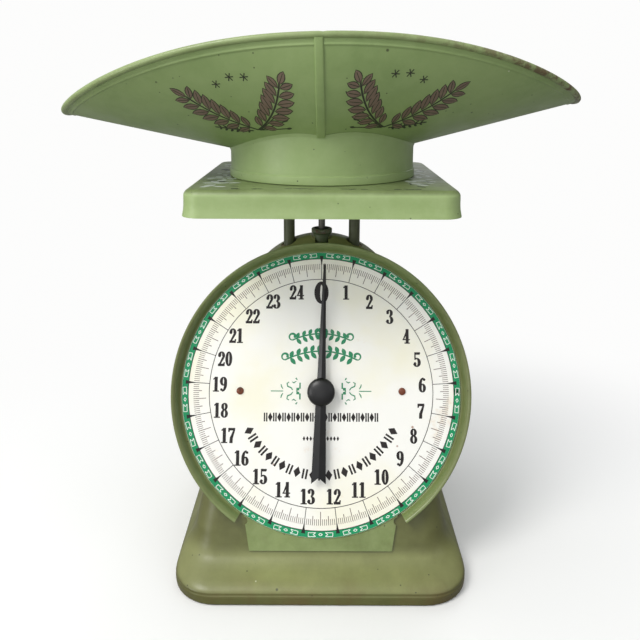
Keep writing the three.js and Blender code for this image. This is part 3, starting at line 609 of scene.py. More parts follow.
def case_ring(height, arch_angle, inset, corner_steps=10):
    away_x, away_z = math.cos(arch_angle), math.sin(arch_angle)
    on_arch = arch_angle > 0
    if on_arch:
        outline_x = (ARCH_RADIUS - inset) * away_x
        outline_z = arch_centre_z + (ARCH_RADIUS - inset) * away_z
        corner = BODY_CORNER + (CROWN_CORNER - BODY_CORNER) * away_z
    else:
        outline_x = wall_distance(height, body_half, SIDE_TOE_TOP, SIDE_SLOPE) - inset
        outline_z = height
        spread = min(max((SIDE_TOE_TOP - height) / SIDE_TOE_TOP, 0), 1)
        corner = BODY_CORNER + (BASE_CORNER - BODY_CORNER) * spread
    radius = corner - inset
    wall_inset = inset / lean_cos
    turns = [k / corner_steps * math.pi / 2 for k in range(corner_steps + 1)]
    quarter = [(radius * (1 - math.sin(t)), radius * (1 - math.cos(t))) for t in turns]

    def place(side, rear, drawn_in, deep):
        point_z = outline_z - drawn_in * away_z
        front_y = -wall_distance(point_z, lambda h: -body_front(h), FRONT_TOE_TOP, lean_slope)
        rear_y = wall_distance(point_z, body_rear, SIDE_TOE_TOP, REAR_SLOPE)
        y = rear_y - wall_inset - deep if rear else front_y + wall_inset + deep
        return Vector((side * (outline_x - drawn_in * away_x), y, point_z))

    corners = [
        [place(1, True, *q) for q in reversed(quarter)],
        [place(-1, True, *q) for q in quarter],
        [place(-1, False, *q) for q in reversed(quarter)],
        [place(1, False, *q) for q in quarter],
    ]
    return fine_ring(corners, 9)


def case_skin(inset, bottom):
    """The case as one closed skin, from its bottom edge to the crown."""
    heights = [bottom] + [h * MM for h in (1.8, 3, 5, 6, 6.6, 7.2, 7.8, 8.6, 10, 11.5, 13, 15, 17)]
    heights += [h * MM for h in (19, 21, 24, 27, 30, 33, 36, 60, 90, 120, 150)]
    if not inset:
        heights[1:1] = [0.3 * MM, 0.7 * MM, 1.2 * MM]
    arch_steps = 20
    angles = [arch_start + (ARCH_END - arch_start) * k / arch_steps for k in range(arch_steps + 1)]
    rings = [case_ring(h, 0, inset + (0 if inset else hem_groove(h))) for h in heights]
    return skin(rings + [case_ring(arch_centre_z, angle, inset) for angle in angles])


def along_dial(x, up):
    """The place function of a piece turned about a line square to the dial."""
    return lambda across, rise, out: on_dial(x + across, up + rise, out)


def case():
    open_half = base_half - CASE_SHEET - FLANGE_WIDTH
    opening = [
        square_ring(open_half, BASE_CORNER - FLANGE_WIDTH, -1 * MM),
        square_ring(open_half, BASE_CORNER - FLANGE_WIDTH, CASE_SHEET + 1 * MM),
    ]
    cuts = [
        case_skin(CASE_SHEET, CASE_SHEET),
        skin(opening),
        rod(38 * MM, -8 * MM, 1 * MM, along_dial(0, 0), 96),
        rod(6.9 * MM, 210 * MM, 230 * MM, upright(0, post_y)),
    ]
    cuts += [rod(6 * MM, 195 * MM, 230 * MM, upright(side * post_x, post_y)) for side in (-1, 1)]
    shape = combined(case_skin(0, 0), [("DIFFERENCE", cut) for cut in cuts])
    made = piece("case_shell", *shape, "case", "case_paint", case_paint, 40, ["base_shell"])
    even_normals(made)


def case_rivets():
    """Domed rivet heads low on the case's rear wall."""
    tilt = math.atan(REAR_SLOPE)
    outward = Vector((0, math.cos(tilt), math.sin(tilt)))
    sideways = Vector((1, 0, 0))
    upwards = outward.cross(sideways)
    for word in ("left", "right"):
        node = "guide_rivet_" + word
        centre = middle(node)
        head = outward * ((high(node) - low(node)).y / 2 - 1.6 * MM)

        def place(across, rise, out):
            return centre + head + sideways * across + upwards * rise + outward * out

        dome = [(3.4 * MM * c, 1.3 * MM * s) for c, s in arc((0, 0), 1, 0, 90, 6)]
        shape = turned([(0, -5 * MM), (1.5 * MM, -5 * MM), (1.5 * MM, 0)] + dome, place, 32)
        piece(node + "_dome", *shape, "case", "rusty_steel", rusty_steel, 40, [node])


# ------------------------------------------------------------------ front plate and dial
PLATE_FRONT = -1.1 * MM
PLATE_BACK = -2.3 * MM
FLANGE_GAP = math.radians(34)
TAB_HALF = 47.5 * MM
TAB_SHOULDER_HALF = 52 * MM
TAB_SHOULDER = -79 * MM
TAB_BOTTOM = -104 * MM
NOTCH_RADIUS = 2.6 * MM
SHAFT_HOLE = 3.2 * MM


def bezel_profile():
    """Flat plate, a sharp turn forward, a steep flange and a rolled lip, as (radius, out)."""
    front = [(SHAFT_HOLE, PLATE_FRONT), (96.2 * MM, PLATE_FRONT)]
    inner = [(96.9, -0.8), (97.4, 0), (98, 1.7), (98.6, 3.6), (99.1, 4.7), (99.8, 5.6), (100.4, 6.05)]
    lip = [(101, 6.2), (101.5, 6.15), (101.9, 5.8), (102, 5.4), (101.8, 5.05), (101.4, 4.9)]
    outer = [(100.9, 4.8), (100.4, 4.3), (100, 3.4), (99.3, 1.2), (98.6, -0.9), (98, -1.9)]
    back = [(97.2 * MM, PLATE_BACK), (SHAFT_HOLE, PLATE_BACK)]
    scale = bezel_radius / (102 * MM) * MM
    return front + [(r * scale, out * MM) for r, out in inner + lip + outer] + back


def flat_solid(outline, back, front, place):
    """A flat plate between two distances, from an outline; place(x, up, out) puts its points."""
    count = len(outline)
    points = [place(x, up, back) for x, up in outline] + [place(x, up, front) for x, up in outline]
    faces = [tuple(range(count)), tuple(range(2 * count - 1, count - 1, -1))]
    for j in range(count):
        k = (j + 1) % count
        faces.append((j, k, count + k, count + j))
    return points, faces


def front_plate():
    dish = turned(bezel_profile(), on_dial, 180)
    wedge_steps = 32
    wedge = []
    for k in range(wedge_steps + 1):
        angle = FLANGE_GAP * (2 * k / wedge_steps - 1)
        across, down = math.sin(angle), -math.cos(angle)
        edge = [(95.9, -9), (110, -9), (110, 9), (95.9, 9)]
        wedge.append([on_dial(r * MM * across, r * MM * down, out * MM) for r, out in edge])
    tab_outline = [(-TAB_HALF, TAB_BOTTOM), (TAB_HALF, TAB_BOTTOM)]
    tab_outline += [(TAB_SHOULDER_HALF, TAB_SHOULDER), (-TAB_SHOULDER_HALF, TAB_SHOULDER)]
    tab = flat_solid(tab_outline, PLATE_BACK, PLATE_FRONT, on_dial)
    steps = [("DIFFERENCE", skin(wedge)), ("UNION", tab)]
    for side in (-1, 1):
        turn = math.radians(31.2)
        x, up = side * 99.5 * MM * math.sin(turn), -99.5 * MM * math.cos(turn)
        steps.append(("DIFFERENCE", rod(NOTCH_RADIUS, -9 * MM, 9 * MM, along_dial(x, up), 24)))
    shape = combined(dish, steps)
    made = piece("bezel_plate", *shape, "case", "case_paint", bezel_paint, 35, ["front_plate"])
    even_normals(made)


def dial():
    edge = [(dial_radius - 0.25 * MM, 0), (dial_radius, -0.2 * MM), (dial_radius, -0.8 * MM)]
    profile = [(SHAFT_HOLE, 0)] + edge + [(SHAFT_HOLE, -0.8 * MM)]
    shape = turned(profile, on_dial, 180)
    piece("dial_plate", *shape, "case", "dial_enamel", dial_enamel, 35, ["dial_face"])
    for word in ("left", "right"):
        node = "dial_rivet_" + word
        x = middle(node).x
        dome = [(2.5 * MM * c, 0.25 * MM + 1.2 * MM * s) for c, s in arc((0, 0), 1, 0, 90, 6)]
        shape = turned([(0, -2.6 * MM), (1.5 * MM, -2.6 * MM), (1.5 * MM, 0.25 * MM)] + dome,
                       along_dial(x, 0), 32)
        piece(node + "_dome", *shape, "case", "rusty_steel", rivet_rust, 40, [node])


# ------------------------------------------------------------------ flat shapes for prints, in mm
def almond(start, end, width, steps=5):
    """A pointed leaf between two points."""
    start, end = Vector(start), Vector(end)
    along = end - start
    across = Vector((-along.y, along.x)).normalized()
    one = []
    other = []
    for k in range(1, steps):
        t = k / steps
        half = across * (width / 2 * math.sin(math.pi * t) ** 0.8)
        one.append(start + along * t + half)
        other.append(start + along * t - half)
    return [tuple(p) for p in [start] + other + [end] + one[::-1]]


def ribbon(path, widths):
    """Quads of a stroke along a path; widths is one number, or one for each point."""
    points = [Vector(p) for p in path]
    if not hasattr(widths, "__len__"):
        widths = [widths] * len(points)
    sides = []
    for i, point in enumerate(points):
        along = points[min(i + 1, len(points) - 1)] - points[max(i - 1, 0)]
        across = Vector((-along.y, along.x)).normalized() * widths[i] / 2
        sides.append((point - across, point + across))
    quads = []
    for (a, b), (c, d) in zip(sides, sides[1:]):
        quads.append([tuple(a), tuple(c), tuple(d), tuple(b)])
    return quads


def band(centre, outer, inner, start=0, end=360, steps=18):
    """Quads between two ellipses, each given as (half width, half height)."""
    quads = []
    for k in range(steps):
        corners = []
        for t, radii in ((k, outer), (k + 1, outer), (k + 1, inner), (k, inner)):
            angle = math.radians(start + (end - start) * t / steps)
            x = centre[0] + radii[0] * math.cos(angle)
            y = centre[1] + radii[1] * math.sin(angle)
            corners.append((x, y))
        quads.append(corners)
    return quads


def disc(centre, radius, steps=12):
    turns = [TURN * k / steps for k in range(steps)]
    return [(centre[0] + radius * math.cos(a), centre[1] + radius * math.sin(a)) for a in turns]


def block(x0, y0, x1, y1):
    return [(x0, y0), (x1, y0), (x1, y1), (x0, y1)]


def moved(shapes, x=0.0, y=0.0, scale=1.0, turn=0.0, mirror=False):
    """Shapes scaled, mirrored left to right, turned about the origin, then shifted."""
    c, s = math.cos(turn), math.sin(turn)
    result = []
    for shape in shapes:
        points = []
        for px, py in shape:
            px = -px * scale if mirror else px * scale
            py = py * scale
            points.append((x + px * c - py * s, y + px * s + py * c))
        result.append(points)
    return result


def digit(number):
    """A condensed bold slab numeral, one unit high and about half as wide."""
    if number == 0:
        return band((0.26, 0.5), (0.26, 0.5), (0.06, 0.43))
    if number == 1:
        flag = [(0.04, 0.80), (0.18, 0.86), (0.32, 1.0), (0.22, 1.0), (0.04, 0.88)]
        return [block(0.15, 0, 0.36, 1.0), block(0.03, 0, 0.48, 0.08), flag]
    if number == 2:
        slope = [(0.03, 0.08), (0.17, 0.12), (0.5, 0.62), (0.5, 0.74), (0.35, 0.66)]
        foot = [(0.0, 0), (0.48, 0), (0.52, 0.27), (0.46, 0.27), (0.42, 0.17), (0.0, 0.17)]
        bowl = band((0.26, 0.72), (0.26, 0.28), (0.06, 0.21), -12, 185)
        return bowl + [disc((0.1, 0.7), 0.09), slope, foot]
    if number == 3:
        upper = band((0.23, 0.75), (0.26, 0.25), (0.06, 0.185), -88, 165)
        lower = band((0.23, 0.27), (0.3, 0.27), (0.09, 0.205), -165, 88)
        return upper + lower + [disc((0.09, 0.76), 0.085), disc((0.08, 0.22), 0.09)]
    if number == 4:
        slope = [(0.0, 0.25), (0.09, 0.3), (0.42, 0.92), (0.42, 1.0), (0.34, 1.0)]
        stem = [block(0.25, 0, 0.45, 1.0), block(0.15, 0, 0.54, 0.08)]
        return stem + [slope, block(0.0, 0.24, 0.55, 0.32)]
    if number == 5:
        bowl = band((0.23, 0.31), (0.3, 0.31), (0.09, 0.235), -160, 125)
        flag = [(0.06, 0.83), (0.42, 0.83), (0.48, 0.88), (0.48, 1.0), (0.06, 1.0)]
        return bowl + [flag, block(0.06, 0.48, 0.12, 1.0), disc((0.09, 0.23), 0.09)]
    if number == 6:
        bowl = band((0.26, 0.3), (0.27, 0.3), (0.07, 0.235))
        back = band((0.36, 0.45), (0.37, 0.55), (0.17, 0.485), 92, 190)
        return bowl + back + [disc((0.41, 0.86), 0.085)]
    if number == 7:
        top = [(0.0, 0.72), (0.05, 0.72), (0.09, 0.83), (0.5, 0.83), (0.5, 1.0), (0.0, 1.0)]
        leg = [(0.1, 0), (0.31, 0), (0.33, 0.32), (0.5, 0.85), (0.4, 0.87), (0.13, 0.35)]
        return [top, leg]
    if number == 8:
        upper = band((0.26, 0.75), (0.24, 0.25), (0.06, 0.185))
        return upper + band((0.26, 0.28), (0.27, 0.28), (0.08, 0.21))
    return moved(digit(6), 0.52, 1.0, 1.0, math.pi)


def numeral(value, x, y, height):
    """A whole number centred on a point, its digits drawn narrow."""
    narrow = 0.86
    digits = [int(c) for c in str(value)]
    pitch = 0.5 * height
    start = x - (pitch * len(digits) - 0.04 * height) / 2
    shapes = []
    for place, number in enumerate(digits):
        slim = [[(px * narrow, py) for px, py in shape] for shape in digit(number)]
        for strike in (-0.018, 0.018):
            shapes += moved(slim, start + (place * 0.5 + strike) * height, y - height / 2, height)
    return shapes


def around_dial(shapes, turn, radius):
    """Shapes drawn at the top of the dial, moved clockwise round it."""
    return moved(moved(shapes, 0, radius), turn=-turn)


def printed(name, shapes, place, body, slot, material, rise, grid=None):
    """Flat shapes joined into one thin closed layer of ink; place(x, y, out) puts it."""
    points = []
    faces = []
    for shape in shapes:
        area = sum(a[0] * b[1] - b[0] * a[1] for a, b in zip(shape, list(shape[1:]) + [shape[0]]))
        ordered = shape if area > 0 else list(reversed(shape))
        faces.append(list(range(len(points), len(points) + len(ordered))))
        points += [Vector(p) for p in ordered]
    if grid:
        low_x, low_y = min(p.x for p in points), min(p.y for p in points)
        high_x, high_y = max(p.x for p in points), max(p.y for p in points)
        for i in range(1, int((high_x - low_x) / grid) + 1):
            for j in range(1, int((high_y - low_y) / grid) + 1):
                points.append(Vector((low_x + (i + 0.37) * grid, low_y + (j + 0.41) * grid)))
    flat, _, cells, _, _, origins = delaunay_2d_cdt(points, [], faces, 1, 1e-4, True)
    kept = [list(cell) for cell, origin in zip(cells, origins) if origin]
    count = len(flat)
    solid = [place(p.x, p.y, rise) for p in flat] + [place(p.x, p.y, -0.03 * MM) for p in flat]
    walls = {}
    for cell in kept:
        for a, b in zip(cell, cell[1:] + cell[:1]):
            walls[(a, b)] = walls.get((a, b), 0) + 1
    sides = [(a, b, b + count, a + count) for a, b in walls if (b, a) not in walls]
    lids = [tuple(cell) for cell in kept] + [tuple(i + count for i in reversed(cell)) for cell in kept]
    used = sorted({i for face in lids for i in face})
    number = {old: new for new, old in enumerate(used)}
    solid = [solid[i] for i in used]
    every = [tuple(number[i] for i in face) for face in lids + sides]
    return piece(name, solid, every, body, slot, material, 30)


# ------------------------------------------------------------------ dial printing
POUNDS = 25
PITCH = TURN / POUNDS
RING_OUTER = 95.4
RING_INNER = 91.2
LINE_CIRCLE = 76.7
NUMERAL_CIRCLE = 69.7
NUMERAL_HEIGHT = 10


def on_face(x, up, out):
    """A point of the dial print; x and up in millimetres."""
    return on_dial(x * MM, up * MM, out)


def dial_print(name, shapes, material, rise):
    slot = "black_paint" if material is black_ink else "dial_enamel"
    printed(name, shapes, on_face, "case", slot, material, rise)


def radial(angle, inner, outer, width):
    """A line of even width pointing to the dial's centre."""
    return around_dial([block(-width / 2, inner, width / 2, outer)], angle, 0)


def green_ring():
    shapes = band((0, 0), (RING_OUTER, RING_OUTER), (RING_INNER, RING_INNER), steps=200)
    dial_print("dial_green_ring", shapes, green_ink, 0.05 * MM)


def ring_pattern():
    """White boxes with notched ends either side of a small diamond, between the pound marks."""
    line = 0.42
    shapes = []
    for side in (-1, 1):
        outline = [(8.2, -1.2), (3.2, -1.2), (4.9, 0), (3.2, 1.2), (8.2, 1.2), (8.2, -1.2)]
        path = [(side * x, y) for x, y in outline]
        for start, end in zip(path, path[1:]):
            shapes += ribbon([start, end], line)
    diamond = [(-1.3, 0), (0, 0.8), (1.3, 0), (0, -0.8), (-1.3, 0)]
    for start, end in zip(diamond, diamond[1:]):
        shapes += ribbon([start, end], line)
    middle_radius = (RING_INNER + RING_OUTER) / 2
    every = []
    for pound in range(POUNDS):
        every += around_dial(shapes, (pound + 0.5) * PITCH, middle_radius)
    dial_print("dial_white_pattern", every, white_ink, 0.08 * MM)


def pound_marks():
    """Arrowheads, pound lines and the two thin circles."""
    arrow = [(-1.4, 93.2), (1.4, 93.2), (0.5, 89.4), (0.2, 86), (-0.2, 86), (-0.5, 89.4)]
    shapes = band((0, 0), (LINE_CIRCLE + 0.22,) * 2, (LINE_CIRCLE - 0.22,) * 2, steps=200)
    shapes += band((0, 0), (RING_INNER + 0.1,) * 2, (RING_INNER - 0.35,) * 2, steps=200)
    for pound in range(POUNDS):
        shapes += around_dial([arrow], pound * PITCH, 0)
        shapes += radial(pound * PITCH, LINE_CIRCLE, 87, 0.42)
    dial_print("dial_pound_marks", shapes, black_ink, 0.08 * MM)


def ounce_marks():
    """Sixteen thin strokes to the pound, longer at the quarters and the half."""
    shapes = []
    for ounce in range(POUNDS * 16):
        share = ounce % 16
        if share == 0:
            continue
        start = 78.9 if share == 8 else 81.7 if share % 4 == 0 else 83.7
        shapes += radial(ounce * PITCH / 16, start, 87.6, 0.42 if share % 4 == 0 else 0.34)
    dial_print("dial_ounce_marks", shapes, brown_ink, 0.05 * MM)


def numerals():
    shapes = band((0, 67.4), (5.0, 7.8), (0.9, 5.6), steps=32)
    for pound in range(1, POUNDS):
        turn = pound * PITCH
        x, up = NUMERAL_CIRCLE * math.sin(turn), NUMERAL_CIRCLE * math.cos(turn)
        shapes += numeral(pound, x, up, NUMERAL_HEIGHT)
    dial_print("dial_numerals", shapes, black_ink, 0.05 * MM)


def vine(half_width, low_y, crown, leaf, leaves):
    """A leafy stem arched over the centre line, curling in at both ends."""
    def stem(t):
        return Vector((half_width * t, low_y + crown * (1 - t * t)))

    path = [tuple(stem(k / 12)) for k in range(-12, 13)]
    shapes = ribbon(path, 1.0)
    for side in (-1, 1):
        centre = (side * half_width, low_y + 2.2)
        curl = [(centre[0] + 2.2 * math.sin(a) * side, centre[1] - 2.2 * math.cos(a))
                for a in (k * TURN / 16 for k in range(12))]
        shapes += ribbon(curl, [0.7 + 0.09 * k for k in range(len(curl))])
        shapes.append(disc((curl[-1][0] + side * 0.3, curl[-1][1] - 0.6), 1.0))
    for k in range(leaves):
        t = -0.86 + 1.72 * k / (leaves - 1)
        root = stem(t)
        slant = 0.55 if t < 0 else -0.55
        for way in (1, -1):
            tip = root + Vector((slant * leaf * (0.6 if way > 0 else 1.1), way * leaf * 0.72))
            shapes.append(almond(root, tip, leaf * 0.46))
    return shapes


def centre_ornament():
    """A two-line leafy flourish above the hub, and small scrolls either side of it."""
    shapes = vine(20, 34.5, 4.5, 5.6, 9) + vine(25, 21.0, 6.0, 6.4, 10)
    scroll = [block(26, -0.3, 34.5, 0.3)]
    for way in (-1, 1):
        scroll += ribbon([(26.2, way * 1.4), (27.2, way * 3.0), (27.6, way * 4.6)], [0.5, 0.8, 0.5])
        scroll += ribbon([(19.4, way * 0.6), (20.6, way * 2.2), (23.0, way * 3.2), (23.4, way * 5.2),
                          (22.0, way * 6.0)], [0.6, 0.8, 0.9, 0.8, 0.6])
        scroll += ribbon([(17.0, way * 6.6), (18.8, way * 5.6), (20.0, way * 6.2)], [0.4, 0.9, 0.4])
        scroll += ribbon([(16.4, way * 7.4), (17.4, way * 8.8)], [0.5, 1.0])
        scroll.append(block(*sorted_span(14.0, way * 1.6, 15.0, way * 5.6)))
        scroll.append(block(*sorted_span(15.0, way * 0.4, 16.9, way * 2.2)))
    scroll.append(block(16.2, -2.2, 17.0, 2.2))
    shapes += scroll + moved(scroll, mirror=True)
    dial_print("dial_green_ornament", shapes, dark_green_ink, 0.05 * MM)


def sorted_span(x0, y0, x1, y1):
    return min(x0, x1), min(y0, y1), max(x0, x1), max(y0, y1)


def lozenge(width, height):
    return [(-width / 2, 0), (0, -height / 2), (width / 2, 0), (0, height / 2)]


def bar_pair(outer, inner, half_height):
    left = block(-outer, -half_height, -inner, half_height)
    return [left, block(inner, -half_height, outer, half_height)]


def border_rows():
    """Plain black rows below the hub: one straight, one short, one bent round the hub."""
    shapes = []
    for k in range(-12, 13):
        mark = [lozenge(3.1, 6.2)] if k % 2 else bar_pair(1.25, 0.3, 2.9)
        shapes += moved(mark, k * 3.15, -17.4)
    for k in range(-5, 6):
        shapes += moved([lozenge(1.8, 3.2)], k * 2.3, -31.5)
    for k in range(-11, 12):
        turn = math.pi + k * math.radians(5.6)
        mark = [lozenge(4.8, 7.2)] if k % 2 else bar_pair(1.8, 0.5, 3.2)
        shapes += around_dial(mark, turn, 55.6)
    dial_print("dial_black_rows", shapes, black_ink, 0.05 * MM)


def dial_printing():
    green_ring()
    ring_pattern()
    pound_marks()
    ounce_marks()
    numerals()
    centre_ornament()
    border_rows()


# ------------------------------------------------------------------ pointer and hub
POINTER_TIP = 87.5
POINTER_TURN = math.radians(-1.5)


def pointer():
    """A ridged blade: half-widths at heights from its tip down to a notched tail."""
    front = 6.8 * MM
    back = 5.4 * MM
    rows = [(POINTER_TIP, 0.05, 0), (POINTER_TIP - 1.2, 0.8, 0), (70, 1.3, 0)]
    rows += [(45, 1.95, 0), (20, 2.6, 0), (7, 3.0, 0)]
    rows += [(-7, 3.55, 0), (-25, 4.0, 0), (-45, 4.55, 0), (-60, 4.95, 4.2)]
    rings = []
    for up, half, notch in rows:
        half, up, tip = half * MM, up * MM, (up + notch) * MM
        flat = min(half * 0.5, 0.7 * MM)
        rings.append([
            on_dial(half, up, back),
            on_dial(half, up, back + 0.2 * MM),
            on_dial(flat * 0.2, tip, front),
            on_dial(-flat * 0.2, tip, front),
            on_dial(-half, up, back + 0.2 * MM),
            on_dial(-half, up, back),
            on_dial(-flat * 0.2, tip, back),
            on_dial(flat * 0.2, tip, back),
        ])
    points = [p for ring in rings for p in ring]
    faces = []
    count = len(rings[0])
    for i in range(len(rings) - 1):
        for j in range(count):
            k = (j + 1) % count
            faces.append((i * count + j, i * count + k, (i + 1) * count + k, (i + 1) * count + j))
    end = (len(rings) - 1) * count
    for start in (0, end):
        faces.append((start, start + 1, start + 2, start + 7))
        faces.append((start + 2, start + 3, start + 6, start + 7))
        faces.append((start + 3, start + 4, start + 5, start + 6))
    boss = [(0, 1.6 * MM), (3 * MM, 1.6 * MM), (3 * MM, back), (7.9 * MM, back)]
    boss += [(7.9 * MM, front), (0, front)]
    points, faces = combined((points, faces), [("UNION", turned(boss, on_dial, 48))])
    swing = Matrix.Rotation(-POINTER_TURN, 4, dial_inward)
    shape = [dial_centre + swing @ (p - dial_centre) for p in points], faces
    piece("pointer_blade", *shape, "pointer_shaft", "black_paint", black_paint, 12, ["pointer"])


def hub():
    back = 7.1 * MM
    radius = high("hub_cap").x
    crown = [(radius * c, back + 0.9 * MM + 3.7 * MM * s) for c, s in arc((0, 0), 1, 0, 90, 12)]
    profile = [(0, back), (radius - 0.3 * MM, back), (radius, back + 0.3 * MM)] + crown
    shape = turned(profile, on_dial, 96)
    piece("hub_dome", *shape, "pointer_shaft", "black_paint", black_paint, 50, ["hub_cap"])


# ------------------------------------------------------------------ posts, nut and platform
def posts():
    for word in ("left", "right"):
        node = "post_" + word
        top = high(node).z
        bottom = low(node).z
        profile = [(0, bottom), (post_radius - 0.6 * MM, bottom), (post_radius, bottom + 0.6 * MM)]
        profile += [(post_radius, bottom + (top - bottom) * k / 40) for k in range(1, 40)]
        profile += [(post_radius, top), (0, top)]
        shape = turned(profile, upright(middle(node).x, post_y), 40)
        piece(node + "_bar", *shape, "platform_frame", "steel", post_paint, 40, [node])


def zero_nut():
    """A cup with a finely knurled lip."""
    lip_low = nut_high - 3.4 * MM
    body = 6.2 * MM
    teeth = 40
    place = upright(0, post_y)
    rings = []
    for i in range(teeth * 2):
        angle = TURN * i / (teeth * 2)
        lip = nut_lip_radius - (0.35 * MM if i % 2 else 0)
        rim = nut_lip_radius - 1.6 * MM
        profile = [(2.5 * MM, nut_low), (body - 0.4 * MM, nut_low), (body, nut_low + 0.4 * MM)]
        profile += [(body, lip_low - 0.9 * MM), (lip - 0.4 * MM, lip_low), (lip, lip_low + 0.5 * MM)]
        profile += [(lip, nut_high - 0.5 * MM), (lip - 0.5 * MM, nut_high), (rim, nut_high)]
        profile += [(rim, lip_low - 2 * MM), (2.5 * MM, lip_low - 2 * MM)]
        rings.append([place(r * math.cos(angle), r * math.sin(angle), h) for r, h in profile])
    shape = skin(rings, loop=True)
    piece("knurled_nut", *shape, "zero_nut", "steel", nut_paint, 25, ["zero_nut"])


def platform():
    """A shallow pressed tray, turned down, its skirt flaring a little at the bottom."""
    sheet = 1.2 * MM
    corner = 11 * MM
    shoulder = 4.5 * MM
    skirt_half = platform_half - 1.1 * MM

    def ring(inset, height, extra=0.0):
        rounding = corner - inset + extra
        return square_ring(skirt_half + extra - inset, rounding, height, 12)

    def skirt(inset):
        flare = [(0, 1.1), (0.6, 1.05), (2, 0.75), (4, 0.35), (6.5, 0.1), (9, 0), (10.5, 0)]
        return [ring(inset, platform_bottom + h * MM, f * MM) for h, f in flare]

    def over(inset):
        rings = []
        for c, s in arc((0, 0), 1, 0, 90, 9)[1:]:
            pull = shoulder * (1 - c)
            rings.append(ring(inset, platform_top - shoulder + shoulder * s - inset, -pull))
        return rings

    def top(inset):
        shrink = [platform_half * share for share in (0.1, 0.16, 0.3, 0.5, 0.7, 0.85)]
        half = skirt_half - shoulder - inset
        level = platform_top - inset
        return [square_ring(half - s, max(corner - s, 3 * MM), level, 12) for s in shrink]

    outside = skirt(0) + over(0) + top(0)
    inside = skirt(sheet) + over(sheet) + top(sheet)
    rings = inside[::-1] + outside
    shape = skin(rings)
    made = piece("platform_tray", *shape, "platform_frame", "platform_paint", platform_paint, 40,
                 ["platform"])
    even_normals(made)


# ------------------------------------------------------------------ scoop
SCOOP_HALF = 172.5 * MM
SCOOP_RADIUS = 92 * MM
KEEL_Z = 273 * MM
KEEL_SLOPE = 0.234
RIM_TOP_Z = 355 * MM
RIM_FALL = 41.6 * MM
RIM_POWER = 2.25
SCOOP_SHEET = 0.8 * MM
SCOOP_TILT = math.radians(1.5)
RIM_BEAD = 2 * MM
RIM_GAP = 1.2 * MM
tilt_matrix = Matrix.Rotation(-SCOOP_TILT, 4, "Y")


def rim_point(turn):
    """The rim as distance along and arc length across, at a turn from -90 to 90 degrees."""
    x = SCOOP_HALF * math.sin(turn)
    share = abs(x) / SCOOP_HALF
    rise = max(RIM_TOP_Z - RIM_FALL * share ** RIM_POWER - KEEL_Z - KEEL_SLOPE * abs(x), 0)
    return x, SCOOP_RADIUS * math.acos(1 - rise / SCOOP_RADIUS)


def inside_rim(turn, inset):
    step = 1e-3
    x0, a0 = rim_point(turn - step)
    x1, a1 = rim_point(turn + step)
    length = math.hypot(x1 - x0, a1 - a0)
    x, a = rim_point(turn)
    return x + (a1 - a0) / length * inset, a - (x1 - x0) / length * inset


def scoop_point(x, across, depth, side=0):
    """A point of the sheet: along, arc length across, and depth below its inner face."""
    beta = across / SCOOP_RADIUS
    slope = KEEL_SLOPE * (side or (1 if x > 0 else -1))
    normal = Vector((-slope * math.cos(beta), -math.sin(beta), math.cos(beta))).normalized()
    z = KEEL_Z + KEEL_SLOPE * abs(x) + SCOOP_RADIUS * (1 - math.cos(beta))
    point = Vector((x, SCOOP_RADIUS * math.sin(beta), z)) - normal * depth
    keel = Vector((0, 0, KEEL_Z))
    return tilt_matrix @ (point - keel) + keel


def swage(inset):
    """A fine raised line pressed into the sheet a little below the rim."""
    return 0.45 * MM * math.exp(-(((inset - 4.9 * MM) / (0.6 * MM)) ** 2))


def scoop_half(word, side):
    steps = 72
    insets = [RIM_GAP + (7.4 * MM - RIM_GAP) * k / 16 for k in range(17)]
    columns = 30
    rings = []

    def both_faces(line):
        upper = [scoop_point(x, a, press, side) for x, a, press in line]
        lower = [scoop_point(x, a, SCOOP_SHEET + press, side) for x, a, press in line]
        return upper + lower[::-1]

    for i in range(steps + 1):
        turn = 1.5 * i / steps
        outer = []
        for inset in insets:
            x, across = inside_rim(turn, inset)
            outer.append((side * x, max(across, 0.2 * MM), swage(inset)))
        inner_x, inner_across = outer[-1][0], outer[-1][1]
        line = [(x, -across, press) for x, across, press in outer]
        line += [(inner_x, inner_across * (2 * k / columns - 1), 0) for k in range(1, columns)]
        line += [(x, across, press) for x, across, press in reversed(outer)]
        if i == 0:
            line = [(side * 0.05 * MM, across, press) for x, across, press in line]
        rings.append(both_faces(line))
    tip_x, tip_across = inside_rim(1.5, RIM_GAP)
    rows = len(line) - 1
    tip_x = side * (tip_x + 0.4 * MM)
    rings.append(both_faces([(tip_x, 0.8 * tip_across * (2 * k / rows - 1), 0) for k in range(rows + 1)]))
    shape = skin(rings)
    name = f"scoop_sheet_{word}"
    piece(name, *shape, "scoop", "scoop_paint", scoop_paint, 50, ["scoop_" + word])


def seam_strip():
    """The folded seam under the scoop's middle, with rounded edges."""
    half = 2.6 * MM
    _, across = inside_rim(0, 1.6 * MM)
    section = [(-1, 0.15), (-0.96, 0.55), (-0.84, 0.85), (-0.6, 0.95), (0.6, 0.95), (0.84, 0.85)]
    section += [(0.96, 0.55), (1, 0.15)]
    columns = 60
    rings = []
    for k in range(columns + 1):
        arc_here = across * (2 * k / columns - 1)
        ring = [scoop_point(half * x, arc_here, SCOOP_SHEET + d * MM) for x, d in section]
        ring += [scoop_point(half * x, arc_here, 0.3 * MM) for x, _ in reversed(section)]
        rings.append(ring)
    piece("seam_fold", *skin(rings), "scoop", "scoop_paint", scoop_paint, 40, ["scoop_seam_strip"])


